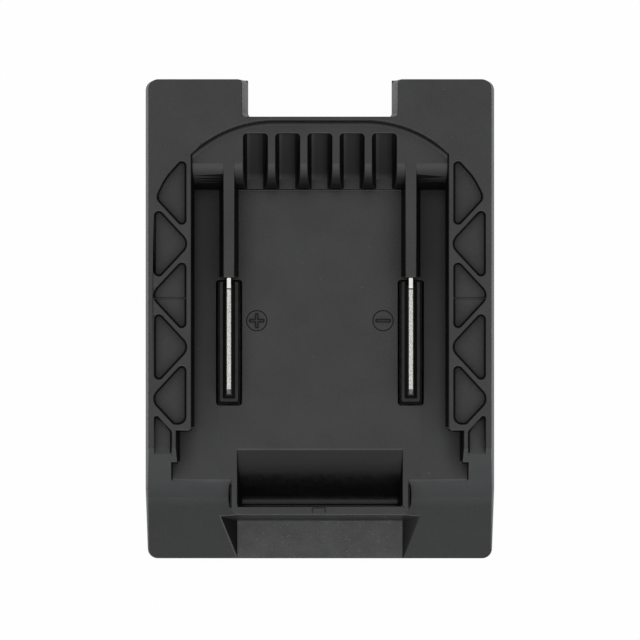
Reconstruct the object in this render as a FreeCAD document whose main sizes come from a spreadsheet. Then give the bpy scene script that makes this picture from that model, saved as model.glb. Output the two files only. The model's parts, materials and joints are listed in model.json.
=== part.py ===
import FreeCAD, Part
import math
import os
import Sketcher

# Driving sizes in millimetres
# x runs across, y from the front edge towards the back, z up to the battery side; z = 0 is the tool-side face
SIZES = {
    "body_length": 107.2,
    "deck_width": 76.6,
    "base_width": 78.2,
    "front_taper": 0.55,
    "front_taper_start": 38.0,
    "body_height": 45.0,
    "corner_radius": 2.2,
    "tower_height": 9.5,
    "plate_thickness": 2.5,
    "wall": 2.2,
    "soft_radius": 1.0,
    "fine_radius": 0.5,
    "tongue_height": 2.0,
    "floor_wall": 2.5,
    # Battery channel
    "channel_depth": 8.0,
    "rail_width": 9.5,
    "groove_reach": 2.75,
    "groove_height": 4.6,
    "lip_front": 24.8,
    "lip_lean": 0.85,
    "entry_lean": 0.6,
    "entry_step": 31.9,
    "entry_reach": 4.4,
    "channel_end": 28.95,
    "end_rounding": 5.85,
    # Raised arch behind the channel
    "arch_drop": 1.4,
    "arch_top": 44.28,
    "arch_flat": 20.1,
    "arch_radius": 27.3,
    # Notch in the back edge
    "notch_deck_width": 34.8,
    "notch_base_width": 32.2,
    "notch_depth": 8.35,
    "notch_radius": 1.0,
    # Five drafted pockets in the end wall
    "cell_pitch": 7.2,
    "cell_top_width": 5.4,
    "cell_floor_width": 4.0,
    "cell_back": 41.5,
    "cell_corner": 0.9,
    "cell_toe": 32.9,
    "cell_toe_radius": 3.0,
    "cell_ledge_rise": 0.4,
    "cell_back_drop": 0.6,
    # Truss of triangular pockets on the rails
    "truss_depth": 1.4,
    "truss_rim": 1.05,
    "truss_border": 1.33,
    "truss_pitch": 11.53,
    "truss_centre": 16.9,
    "truss_half_base": 8.8,
    "truss_overshoot": 1.08,
    "truss_base_radius": 1.0,
    "truss_apex_radius": 2.5,
    "back_cell_side": 1.1,
    "back_cell_nose": 3.2,
    "back_cell_nose_inset": 1.2,
    "back_cell_nose_radius": 3.75,
    "back_cell_trim": 0.9,
    "front_cell_gap": 1.35,
    "front_cell_radius": 1.8,
    "open_cell_top": 3.15,
    "open_cell_inset": 0.1,
    # Sloping front
    "slope_top": 28.9,
    "slope_crease": 39.8,
    "crease_drop": 11.95,
    "crease_radius": 6.0,
    "front_edge": 3.1,
    # Catch pocket for the battery's latch, with its rim
    "catch_width": 37.0,
    "catch_front": 41.8,
    "catch_ledge": 41.1,
    "catch_knee": 35.2,
    "catch_toe": 39.5,
    "catch_knee_drop": 2.95,
    "catch_curve": 25.0,
    "catch_depth": 7.5,
    "catch_slot_depth": 8.7,
    "catch_lean": 1.3,
    "catch_rim": 1.3,
    "catch_lip_front": 43.7,
    "catch_rim_radius": 1.9,
    "knee_wall": 3.7,
    "slot_wall": 2.4,
    # Finger scoop in the slope
    "scoop_width": 37.0,
    "scoop_back": 45.1,
    "scoop_rise": 5.27,
    "scoop_back_run": 1.3,
    "scoop_back_rise": 7.0,
    "scoop_wall_run": 0.72,
    # Power blades and their holders
    "blade_spacing": 40.64,
    "blade_thickness": 0.92,
    "blade_front": 16.8,
    "blade_back": 9.3,
    "blade_drop": 2.0,
    "blade_bevel": 1.2,
    "blade_bevel_drop": 1.92,
    "blade_root_inset": 2.8,
    "blade_root_rise": 0.6,
    "tag_front": 9.0,
    "tag_back": 1.0,
    "tag_drop": 5.9,
    "rib_width": 2.4,
    "rib_foot_width": 4.3,
    "rib_front": 9.35,
    "holder_width": 4.3,
    "holder_front": 18.5,
    "holder_back": 8.5,
    "holder_gap": 0.68,
    "holder_back_gap": 0.3,
    "opening_radius": 0.7,
    "blade_slot_gap": 0.2,
    "holder_sink": 0.6,
    "holder_depth": 8.0,
    "foot_width": 2.8,
    "foot_height": 2.0,
    "foot_margin": 0.8,
    "foot_back_margin": 0.2,
    "foot_taper": 22.0,
    "ear_length": 5.6,
    "ear_thickness": 2.0,
    "ear_width": 5.4,
    "ear_screw_offset": 3.0,
    # Tool-side tower
    "tower_width": 58.0,
    "tower_front": 29.0,
    "tower_back": 44.0,
    "rail_lip": 4.0,
    "rail_undercut": 2.6,
    "rail_front": 25.0,
    "tower_floor": 2.2,
    "slot_width": 3.4,
    "slot_front": 18.0,
    "slot_height": 8.2,
    # Tool-side clips
    "clip_spacing": 24.0,
    "clip_sheet": 0.8,
    "clip_width": 5.2,
    "clip_throat": 0.7,
    "clip_mouth": 2.4,
    "clip_front": 19.5,
    "clip_back": 32.5,
    "clip_bottom": 2.6,
    "clip_top": 9.4,
    "clip_pinch": 4.2,
    "clip_tag_front": 22.0,
    "clip_tag_back": 28.0,
    "clip_tag_top": 17.2,
    # Contact carrier
    "carrier_width": 36.0,
    "carrier_front": 17.5,
    "carrier_back": 34.5,
    "carrier_thickness": 3.6,
    "carrier_fit": 0.1,
    "carrier_ear_spacing": 41.0,
    "carrier_ear_y": 26.0,
    "carrier_post": 5.4,
    # Release latch
    "latch_travel": 3.6,
    "hook_width": 18.0,
    "hook_front": 39.2,
    "hook_back": 31.8,
    "hook_reach": 3.4,
    "hook_ramp": 4.6,
    "press_width": 26.0,
    "press_front": 46.0,
    "press_back": 39.2,
    "press_proud": 1.0,
    "latch_gap": 0.25,
    "flange_width": 31.0,
    "flange_front": 42.2,
    "flange_back": 29.8,
    "flange_thickness": 2.2,
    "spring_spacing": 22.0,
    "spring_y": 34.6,
    "spring_outer": 6.0,
    "spring_wire": 0.6,
    "spring_turns": 4.0,
    "spring_pin": 3.6,
    "spring_pin_height": 1.6,
    "spring_spare": 1.0,
    "retainer_thickness": 2.0,
    "retainer_width": 6.4,
    "retainer_post_spacing": 40.0,
    "retainer_post": 6.0,
    # Screws
    "screw_side_inset": 3.1,
    "screw_back_inset": 7.0,
    "screw_front_inset": 12.1,
    "screw_boss": 7.0,
    "screw_shank": 2.9,
    "screw_head": 5.6,
    "screw_head_height": 1.3,
    "screw_length": 11.0,
    "screw_clearance": 0.4,
    "small_shank": 1.9,
    "small_head": 3.6,
    "small_head_height": 1.2,
    "small_length": 6.0,
    "small_boss": 5.0,
    # Wires
    "wire_diameter": 2.6,
    "wire_touch": 0.05,
    "wire_clip_run": 9.0,
    "wire_blade_run": 1.0,
}

doc = FreeCAD.newDocument("BatteryAdapter")
sheet = doc.addObject("Spreadsheet::Sheet", "Sizes")
for row, (alias, number) in enumerate(SIZES.items(), start=1):
    sheet.set(f"A{row}", alias)
    sheet.set(f"B{row}", str(number))
    sheet.setAlias(f"B{row}", alias)
doc.recompute()


class Size:
    """A length worked out from the sheet: its number now, and the expression that keeps a feature bound to it."""

    def __init__(self, number, text):
        self.number = number
        self.text = text

    def join(self, sign, other, number):
        return Size(number, f"({self.text} {sign} {other.text})")

    def __add__(self, other):
        other = sized(other)
        return self.join("+", other, self.number + other.number)

    def __sub__(self, other):
        other = sized(other)
        return self.join("-", other, self.number - other.number)

    def __mul__(self, other):
        other = sized(other)
        return self.join("*", other, self.number * other.number)

    def __truediv__(self, other):
        other = sized(other)
        return self.join("/", other, self.number / other.number)

    def __neg__(self):
        return sized(0) - self

    def __radd__(self, other):
        return sized(other) + self

    def __rsub__(self, other):
        return sized(other) - self


def sized(value):
    if isinstance(value, Size):
        return value
    return Size(float(value), str(value))


def size(alias):
    return Size(float(sheet.get(alias)), f"Sizes.{alias}")


def smaller(first, second):
    return Size(min(first.number, second.number), f"min({first.text}; {second.text})")


def bind(thing, path, value):
    """Binds one property to the sheet."""
    thing.setExpression(path, sized(value).text)


# Heights that several pieces share
deck_z = size("body_height")
arch_z = deck_z - size("arch_drop")
floor_z = deck_z - size("channel_depth")
ceiling_z = floor_z - size("floor_wall")
plate_bottom_z = size("tower_height")
split_z = plate_bottom_z + size("plate_thickness")
front_edge_z = split_z + size("front_edge")
holder_top_z = floor_z - size("holder_sink")
holder_bottom_z = holder_top_z - size("holder_depth")
boss_z = holder_bottom_z + size("ear_thickness")
half_length = size("body_length") / 2
half_deck = size("deck_width") / 2
half_base = size("base_width") / 2
half_inside = smaller(half_deck, half_base) - size("wall")
half_channel = half_deck - size("rail_width")
half_groove = half_channel + size("groove_reach")
half_entry = half_channel + size("entry_reach")
blade_x = size("blade_spacing") / 2
clip_x = size("clip_spacing") / 2
spring_solid = (size("spring_turns") + 1) * size("spring_wire")
spring_room = size("latch_travel") + spring_solid + size("spring_spare")
flange_top_z = split_z + size("flange_thickness")
retainer_z = flange_top_z + spring_room
root_z = holder_bottom_z + size("blade_root_rise")
tag_z = holder_bottom_z - size("tag_drop")
screw_x = half_inside - size("screw_side_inset")
screw_back = half_length - size("screw_back_inset")
screw_front = half_length - size("screw_front_inset")
MARGIN = sized(1)


def origin_plane(body, role):
    return next(plane for plane in body.Origin.OriginFeatures if plane.Role == role)


def new_body(label):
    body = doc.addObject("PartDesign::Body", label)
    body.Label = label
    return body


def new_sketch(body, role, offset, name):
    """A sketch on one of the body's own planes, moved along that plane's normal."""
    sketch = body.newObject("Sketcher::SketchObject", name)
    sketch.AttachmentSupport = [(origin_plane(body, role), "")]
    sketch.MapMode = "FlatFace"
    offset = sized(offset)
    sketch.AttachmentOffset = FreeCAD.Placement(FreeCAD.Vector(0, 0, offset.number), FreeCAD.Rotation())
    bind(sketch, "AttachmentOffset.Base.z", offset)
    return sketch


def place_point(sketch, geometry, position, x, y):
    """Dimensions one point from the sketch's origin."""
    for kind, value in (("DistanceX", x), ("DistanceY", y)):
        if value is None:
            continue
        value = sized(value)
        index = sketch.addConstraint(Sketcher.Constraint(kind, -1, 1, geometry, position, value.number))
        bind(sketch, f"Constraints[{index}]", value)


def outline(sketch, corners):
    """A closed outline through (x, y) corners; a corner with a third value is rounded to that radius."""
    points = [FreeCAD.Vector(sized(corner[0]).number, sized(corner[1]).number, 0) for corner in corners]
    count = len(points)
    entry = []
    leave = []
    arcs = []
    for index, corner in enumerate(corners):
        here = points[index]
        if len(corner) == 2:
            entry.append(here)
            leave.append(here)
            arcs.append(None)
            continue
        radius = sized(corner[2]).number
        back = (points[index - 1] - here).normalize()
        ahead = (points[(index + 1) % count] - here).normalize()
        half_angle = back.getAngle(ahead) / 2
        reach = radius / math.tan(half_angle)
        entry.append(here + back * reach)
        leave.append(here + ahead * reach)
        centre = here + (back + ahead).normalize() * (radius / math.sin(half_angle))
        turns_left = back.cross(ahead).z < 0
        first, last = (entry[-1], leave[-1]) if turns_left else (leave[-1], entry[-1])
        start = math.atan2(first.y - centre.y, first.x - centre.x)
        end = math.atan2(last.y - centre.y, last.x - centre.x)
        circle = Part.Circle(centre, FreeCAD.Vector(0, 0, 1), radius)
        arcs.append((Part.ArcOfCircle(circle, start, end), turns_left, corner[2]))
    lines = []
    for index in range(count):
        lines.append(sketch.addGeometry(Part.LineSegment(leave[index], entry[(index + 1) % count])))
    for index, corner in enumerate(corners):
        line_in = lines[index - 1]
        line_out = lines[index]
        if arcs[index] is None:
            sketch.addConstraint(Sketcher.Constraint("Coincident", line_in, 2, line_out, 1))
            place_point(sketch, line_out, 1, corner[0], corner[1])
            continue
        curve, turns_left, radius = arcs[index]
        arc = sketch.addGeometry(curve)
        near, far = (1, 2) if turns_left else (2, 1)
        sketch.addConstraint(Sketcher.Constraint("Tangent", line_in, 2, arc, near))
        sketch.addConstraint(Sketcher.Constraint("Tangent", arc, far, line_out, 1))
        bound = sketch.addConstraint(Sketcher.Constraint("Radius", arc, sized(radius).number))
        bind(sketch, f"Constraints[{bound}]", radius)
        sharp = sketch.addGeometry(Part.Point(points[index]), True)
        sketch.addConstraint(Sketcher.Constraint("PointOnObject", sharp, 1, line_in))
        sketch.addConstraint(Sketcher.Constraint("PointOnObject", sharp, 1, line_out))
        place_point(sketch, sharp, 1, corner[0], corner[1])


def rectangle(sketch, x_low, x_high, y_low, y_high, radius=None):
    corners = [(x_low, y_low), (x_high, y_low), (x_high, y_high), (x_low, y_high)]
    if radius is not None:
        corners = [corner + (radius,) for corner in corners]
    outline(sketch, corners)


def circle(sketch, x, y, diameter):
    centre = FreeCAD.Vector(sized(x).number, sized(y).number, 0)
    radius = sized(diameter) / 2
    ring = sketch.addGeometry(Part.Circle(centre, FreeCAD.Vector(0, 0, 1), radius.number))
    index = sketch.addConstraint(Sketcher.Constraint("Radius", ring, radius.number))
    bind(sketch, f"Constraints[{index}]", radius)
    place_point(sketch, ring, 3, x, y)


def extrude(body, kind, sketch, length, name, direction=None):
    """A Pad or Pocket that runs from the sketch along its plane's normal, or along a given direction."""
    feature = body.newObject(f"PartDesign::{kind}", name)
    feature.Profile = sketch
    feature.Length = sized(length).number
    bind(feature, "Length", length)
    feature.Reversed = kind == "Pocket"
    if direction is not None:
        feature.UseCustomVector = True
        feature.Direction = direction
        feature.AlongSketchNormal = True
        feature.Reversed = False
    sketch.Visibility = False
    body.Tip = feature
    return feature


def add(body, sketch, length, name):
    return extrude(body, "Pad", sketch, length, name)


def cut(body, sketch, length, name, direction=None):
    return extrude(body, "Pocket", sketch, length, name, direction)


def mirror(body, features, name):
    """Repeats features on the other side of the middle plane."""
    feature = body.newObject("PartDesign::Mirrored", name)
    feature.Originals = features
    feature.MirrorPlane = (origin_plane(body, "YZ_Plane"), [""])
    body.Tip = feature
    return feature


def round_edges(body, radius, wanted, name):
    """Fillets every edge of the body so far that the test picks."""
    doc.recompute()
    base = body.Tip
    names = [f"Edge{index}" for index, edge in enumerate(base.Shape.Edges, start=1) if wanted(edge)]
    feature = body.newObject("PartDesign::Fillet", name)
    feature.Base = (base, names)
    feature.Radius = sized(radius).number
    bind(feature, "Radius", radius)
    body.Tip = feature
    return feature


def upright(edge):
    """True for an edge that stands nearly along z."""
    if len(edge.Vertexes) != 2:
        return False
    run = edge.Vertexes[1].Point - edge.Vertexes[0].Point
    return abs(run.z) > 0.9 * run.Length


def make_battery_side_shell():
    body = new_body("battery_side_shell")

    # Drafted block, narrower towards the front, with rounded corners
    sketch = new_sketch(body, "XZ_Plane", -half_length, "block_profile")
    outline(sketch, [(-half_base, split_z), (half_base, split_z), (half_deck, deck_z), (-half_deck, deck_z)])
    add(body, sketch, size("body_length"), "block")
    over = MARGIN * size("front_taper") / (half_length - size("front_taper_start"))
    sketch = new_sketch(body, "XY_Plane", split_z, "taper_outline")
    outline(sketch, [
        (half_base, -size("front_taper_start")),
        (half_base - size("front_taper") - over, -half_length - MARGIN),
        (half_base + MARGIN, -half_length - MARGIN),
        (half_base + MARGIN, -size("front_taper_start")),
    ])
    lean = FreeCAD.Vector((half_deck - half_base).number, 0, (deck_z - split_z).number)
    taper = cut(body, sketch, deck_z - split_z, "taper", lean)
    mirror(body, [taper], "tapers")

    def block_corner(edge):
        return upright(edge) and all(abs(abs(vertex.Y) - half_length.number) < 0.01 for vertex in edge.Vertexes)

    round_edges(body, size("corner_radius"), block_corner, "block_corners")

    # Notch that runs through the back edge
    sketch = new_sketch(body, "XZ_Plane", -(half_length + MARGIN), "notch_profile")
    outline(sketch, [
        (-size("notch_base_width") / 2, split_z - MARGIN),
        (size("notch_base_width") / 2, split_z - MARGIN),
        (size("notch_deck_width") / 2, deck_z + MARGIN),
        (-size("notch_deck_width") / 2, deck_z + MARGIN),
    ])
    cut(body, sketch, size("notch_depth") + MARGIN, "notch")
    notch_y = half_length.number - size("notch_depth").number

    def notch_corner(edge):
        inner = all(abs(vertex.Y - notch_y) < 0.01 for vertex in edge.Vertexes)
        outer = all(abs(vertex.Y - half_length.number) < 0.01 for vertex in edge.Vertexes)
        beside = all(abs(vertex.X) < size("notch_deck_width").number / 2 + 0.1 for vertex in edge.Vertexes)
        return upright(edge) and (inner or (outer and beside))

    round_edges(body, size("notch_radius"), notch_corner, "notch_corners")

    # Front slope in two planes with a soft crease
    sketch = new_sketch(body, "YZ_Plane", -(half_base + MARGIN), "slope_profile")
    outline(sketch, [
        (-half_length - MARGIN * 3, front_edge_z),
        (-half_length, front_edge_z),
        (-size("slope_crease"), deck_z - size("crease_drop"), size("crease_radius")),
        (-size("slope_top"), deck_z),
        (-size("slope_top"), deck_z + MARGIN * 3),
        (-half_length - MARGIN * 3, deck_z + MARGIN * 3),
    ])
    cut(body, sketch, size("base_width") + MARGIN * 2, "front_slope")

    make_channel(body)
    make_end_cells(body)
    make_truss(body)
    make_catch_and_scoop(body)
    make_cavity(body)
    return body


def make_channel(body):
    """The arch platform, the T-shaped battery channel, its entry and the two ribs behind the blades."""
    far_front = -half_length - MARGIN * 3

    sketch = new_sketch(body, "XY_Plane", arch_z, "arch_profile")
    half_flat = size("arch_flat") / 2
    radius = size("arch_radius")
    centre_y = size("arch_top") - radius
    across = (half_channel - half_flat).number
    shoulder = centre_y.number + math.sqrt(radius.number ** 2 - across ** 2)
    top = size("arch_top").number
    side = half_channel.number
    flat = half_flat.number
    front = far_front.number
    corners = [(-side, front), (side, front), (side, shoulder), (flat, top), (-flat, top), (-side, shoulder)]
    spots = [FreeCAD.Vector(x, y, 0) for x, y in corners]
    lines = [sketch.addGeometry(Part.LineSegment(spots[a], spots[b])) for a, b in ((0, 1), (1, 2), (3, 4), (5, 0))]
    front_line, right_line, top_line, left_line = lines
    arcs = []
    for sign in (1, -1):
        centre = FreeCAD.Vector(sign * flat, centre_y.number, 0)
        ring = Part.Circle(centre, FreeCAD.Vector(0, 0, 1), radius.number)
        lean = math.atan2(shoulder - centre_y.number, across)
        span = (lean, math.pi / 2) if sign > 0 else (math.pi / 2, math.pi - lean)
        arcs.append(sketch.addGeometry(Part.ArcOfCircle(ring, *span)))
    right_arc, left_arc = arcs
    for first, first_end, second, second_end in (
        (front_line, 2, right_line, 1),
        (right_line, 2, right_arc, 1),
        (top_line, 2, left_arc, 1),
        (left_arc, 2, left_line, 1),
        (left_line, 2, front_line, 1),
        (right_arc, 2, top_line, 1),
    ):
        sketch.addConstraint(Sketcher.Constraint("Coincident", first, first_end, second, second_end))
    for arc, sign in ((right_arc, 1), (left_arc, -1)):
        index = sketch.addConstraint(Sketcher.Constraint("Radius", arc, radius.number))
        bind(sketch, f"Constraints[{index}]", radius)
        place_point(sketch, arc, 3, half_flat if sign > 0 else -half_flat, centre_y)
    place_point(sketch, front_line, 1, -half_channel, far_front)
    place_point(sketch, front_line, 2, half_channel, far_front)
    sketch.addConstraint(Sketcher.Constraint("Vertical", right_line))
    sketch.addConstraint(Sketcher.Constraint("Vertical", left_line))
    place_point(sketch, top_line, 1, half_flat, None)
    place_point(sketch, top_line, 2, -half_flat, None)
    cut(body, sketch, size("arch_drop") + MARGIN, "arch")

    sketch = new_sketch(body, "YZ_Plane", -half_channel, "channel_profile")
    outline(sketch, [
        (far_front, floor_z),
        (size("channel_end"), floor_z),
        (size("channel_end"), arch_z, size("end_rounding")),
        (size("channel_end") + size("end_rounding") + MARGIN, arch_z),
        (size("channel_end") + size("end_rounding") + MARGIN, deck_z + MARGIN),
        (far_front, deck_z + MARGIN),
    ])
    cut(body, sketch, half_channel * 2, "channel")

    # Undercut grooves, then the wider entry in two steps
    sketch = new_sketch(body, "XY_Plane", floor_z, "groove_outline")
    rectangle(sketch, -half_groove, half_groove, far_front, size("channel_end"))
    cut(body, sketch, size("groove_height"), "grooves")
    sketch = new_sketch(body, "XZ_Plane", size("lip_front"), "entry_section")
    outline(sketch, [
        (-half_groove, floor_z),
        (half_groove, floor_z),
        (half_groove + size("entry_lean"), deck_z),
        (half_groove + size("entry_lean"), deck_z + MARGIN),
        (-half_groove - size("entry_lean"), deck_z + MARGIN),
        (-half_groove - size("entry_lean"), deck_z),
    ])
    cut(body, sketch, -far_front - size("lip_front"), "entry")
    sketch = new_sketch(body, "XY_Plane", floor_z, "entry_step_outline")
    rectangle(sketch, -half_entry, half_entry, far_front, -size("entry_step"))
    cut(body, sketch, size("channel_depth") + MARGIN, "entry_step")

    # The lips' inner flanks lean back towards the deck
    groove_top = floor_z + size("groove_height")
    sketch = new_sketch(body, "XZ_Plane", -size("arch_top"), "flank_section")
    outline(sketch, [
        (half_channel - size("lip_lean"), groove_top),
        (half_channel + MARGIN / 2, groove_top),
        (half_channel + MARGIN / 2, deck_z),
        (half_channel, deck_z),
    ])
    flank = add(body, sketch, size("arch_top") + size("lip_front"), "flank")
    mirror(body, [flank], "flanks")

    # The ribs widen towards the floor
    half_rib = size("rib_width") / 2
    half_foot = size("rib_foot_width") / 2
    rib_end = size("channel_end") + size("end_rounding") + MARGIN
    sketch = new_sketch(body, "XZ_Plane", -rib_end, "rib_section")
    outline(sketch, [
        (blade_x - half_foot, floor_z - MARGIN / 2),
        (blade_x + half_foot, floor_z - MARGIN / 2),
        (blade_x + half_foot, floor_z),
        (blade_x + half_rib, arch_z),
        (blade_x - half_rib, arch_z),
        (blade_x - half_foot, floor_z),
    ])
    rib = add(body, sketch, rib_end - size("rib_front"), "rib")
    mirror(body, [rib], "ribs")


def make_end_cells(body):
    """Five drafted pockets in the end wall, each with a ramp that runs down to a ledge at the channel."""
    ledge_z = floor_z + size("cell_ledge_rise")
    depth = arch_z - ledge_z
    sketch = new_sketch(body, "XY_Plane", arch_z, "cell_outlines")
    for place in range(-2, 3):
        middle = size("cell_pitch") * place
        half_width = size("cell_top_width") / 2
        outline(sketch, [
            (middle - half_width, size("channel_end") - MARGIN),
            (middle + half_width, size("channel_end") - MARGIN),
            (middle + half_width, size("cell_back"), size("cell_corner")),
            (middle - half_width, size("cell_back"), size("cell_corner")),
        ])
    cells = cut(body, sketch, depth, "cells")
    cells.Reversed = False
    narrowing = (size("cell_top_width") - size("cell_floor_width")) / 2
    cells.TaperAngle = -math.degrees(math.atan(narrowing.number / depth.number))
    cells.setExpression("TaperAngle", f"-atan({narrowing.text} / {depth.text})")

    low = ledge_z - MARGIN / 2
    reach = size("cell_pitch") * 2 + size("cell_top_width") / 2
    sketch = new_sketch(body, "YZ_Plane", -reach, "cell_ramp_profile")
    outline(sketch, [
        (size("channel_end") + MARGIN / 2, low),
        (size("cell_back"), low),
        (size("cell_back"), arch_z - size("cell_back_drop")),
        (size("cell_toe"), ledge_z, size("cell_toe_radius")),
        (size("channel_end") + MARGIN / 2, ledge_z),
    ])
    add(body, sketch, reach * 2, "cell_ramps")


def make_truss(body):
    """Triangular pockets on top of both rails."""
    inner = half_channel + size("truss_rim")
    outer = half_deck - size("truss_border")
    reach = outer - inner + size("truss_overshoot")
    base_round = size("truss_base_radius")
    apex_round = size("truss_apex_radius")
    half_side = size("truss_half_base")
    sketch = new_sketch(body, "XY_Plane", deck_z - size("truss_depth"), "truss_outline")
    for place in range(3):
        middle = size("truss_centre") - size("truss_pitch") * place
        points_in = place % 2 == 0
        base_x = outer if points_in else inner
        apex_x = outer - reach if points_in else inner + reach
        corners = [
            (base_x, middle - half_side, base_round),
            (base_x, middle + half_side, base_round),
            (apex_x, middle, apex_round),
        ]
        outline(sketch, corners if points_in else corners[::-1])
    # The end pockets are trimmed by the arch at the back and by the entry at the front
    back_middle = size("truss_centre") + size("truss_pitch")
    outline(sketch, [
        (inner, back_middle - half_side, base_round),
        (outer, back_middle - size("back_cell_side"), apex_round),
        (outer - size("back_cell_nose_inset"), back_middle + size("back_cell_nose"), size("back_cell_nose_radius")),
        (inner, back_middle + half_side - size("back_cell_trim"), base_round),
    ])
    front_middle = size("truss_centre") - size("truss_pitch") * 3
    front_end = -size("lip_front") + size("front_cell_gap")
    slant = reach / half_side
    foot_x = inner + reach - (front_middle - front_end) * slant
    outline(sketch, [
        (inner, front_end, size("front_cell_radius")),
        (foot_x, front_end, base_round),
        (inner + reach, front_middle, apex_round),
        (inner, front_middle + half_side, base_round),
    ])
    entry_x = half_entry - size("open_cell_inset")
    open_top = front_middle - size("open_cell_top")
    outline(sketch, [
        (entry_x, -half_length),
        (outer, -half_length),
        (outer, open_top, size("fine_radius")),
        (entry_x, open_top - (outer - entry_x) / slant, size("fine_radius")),
    ])
    side = cut(body, sketch, size("truss_depth") + MARGIN, "truss_side")
    mirror(body, [side], "truss_sides")


def make_catch_and_scoop(body):
    """The catch pocket with its proud rim, and the finger scoop below it."""
    half_catch = size("catch_width") / 2
    half_rim = half_catch + size("catch_rim")
    foot_z = front_edge_z + size("scoop_rise")
    rim_round = size("catch_rim_radius")
    sketch = new_sketch(body, "XY_Plane", foot_z, "rim_outline")
    outline(sketch, [
        (-half_rim, -size("catch_lip_front"), rim_round),
        (half_rim, -size("catch_lip_front"), rim_round),
        (half_rim, -size("slope_top") - MARGIN * 3),
        (-half_rim, -size("slope_top") - MARGIN * 3),
    ])
    add(body, sketch, floor_z - foot_z, "catch_rim")

    sketch = new_sketch(body, "YZ_Plane", -half_catch, "catch_profile")
    outline(sketch, [
        (-size("catch_front"), floor_z - size("catch_slot_depth")),
        (-size("catch_ledge"), floor_z - size("catch_slot_depth")),
        (-size("catch_ledge"), floor_z - size("catch_depth")),
        (-size("catch_toe"), floor_z - size("catch_depth")),
        (-size("catch_knee"), floor_z - size("catch_knee_drop"), size("catch_curve")),
        (-size("slope_top"), floor_z),
        (-size("slope_top"), floor_z + MARGIN),
        (-size("catch_front"), floor_z + MARGIN),
    ])
    cut(body, sketch, size("catch_width"), "catch_pocket")
    sketch = new_sketch(body, "XZ_Plane", size("slope_top"), "catch_side_profile")
    outline(sketch, [
        (half_catch, floor_z),
        (half_catch + MARGIN / 2, floor_z),
        (half_catch + MARGIN / 2, floor_z - size("catch_slot_depth")),
        (half_catch - size("catch_lean"), floor_z - size("catch_slot_depth")),
    ])
    side = add(body, sketch, size("catch_front") - size("slope_top"), "catch_side")
    mirror(body, [side], "catch_sides")

    # The scoop's floor and its back wall share one drafted profile, swept down the slope and up to the rim
    half_scoop = size("scoop_width") / 2
    rise = floor_z - foot_z + MARGIN
    fall = size("scoop_rise") / (half_length - size("scoop_back"))
    sketch = new_sketch(body, "XZ_Plane", size("scoop_back"), "scoop_profile")
    outline(sketch, [
        (-half_scoop, foot_z),
        (half_scoop, foot_z),
        (half_scoop + rise * size("scoop_wall_run"), foot_z + rise),
        (-half_scoop - rise * size("scoop_wall_run"), foot_z + rise),
    ])
    down = FreeCAD.Vector(0, -1, -fall.number)
    run = half_length - size("scoop_back") + MARGIN
    cut(body, sketch, run, "scoop_floor", down)
    up = FreeCAD.Vector(0, size("scoop_back_run").number, size("scoop_back_rise").number)
    cut(body, sketch, size("scoop_back_run"), "scoop_back", up)


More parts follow.
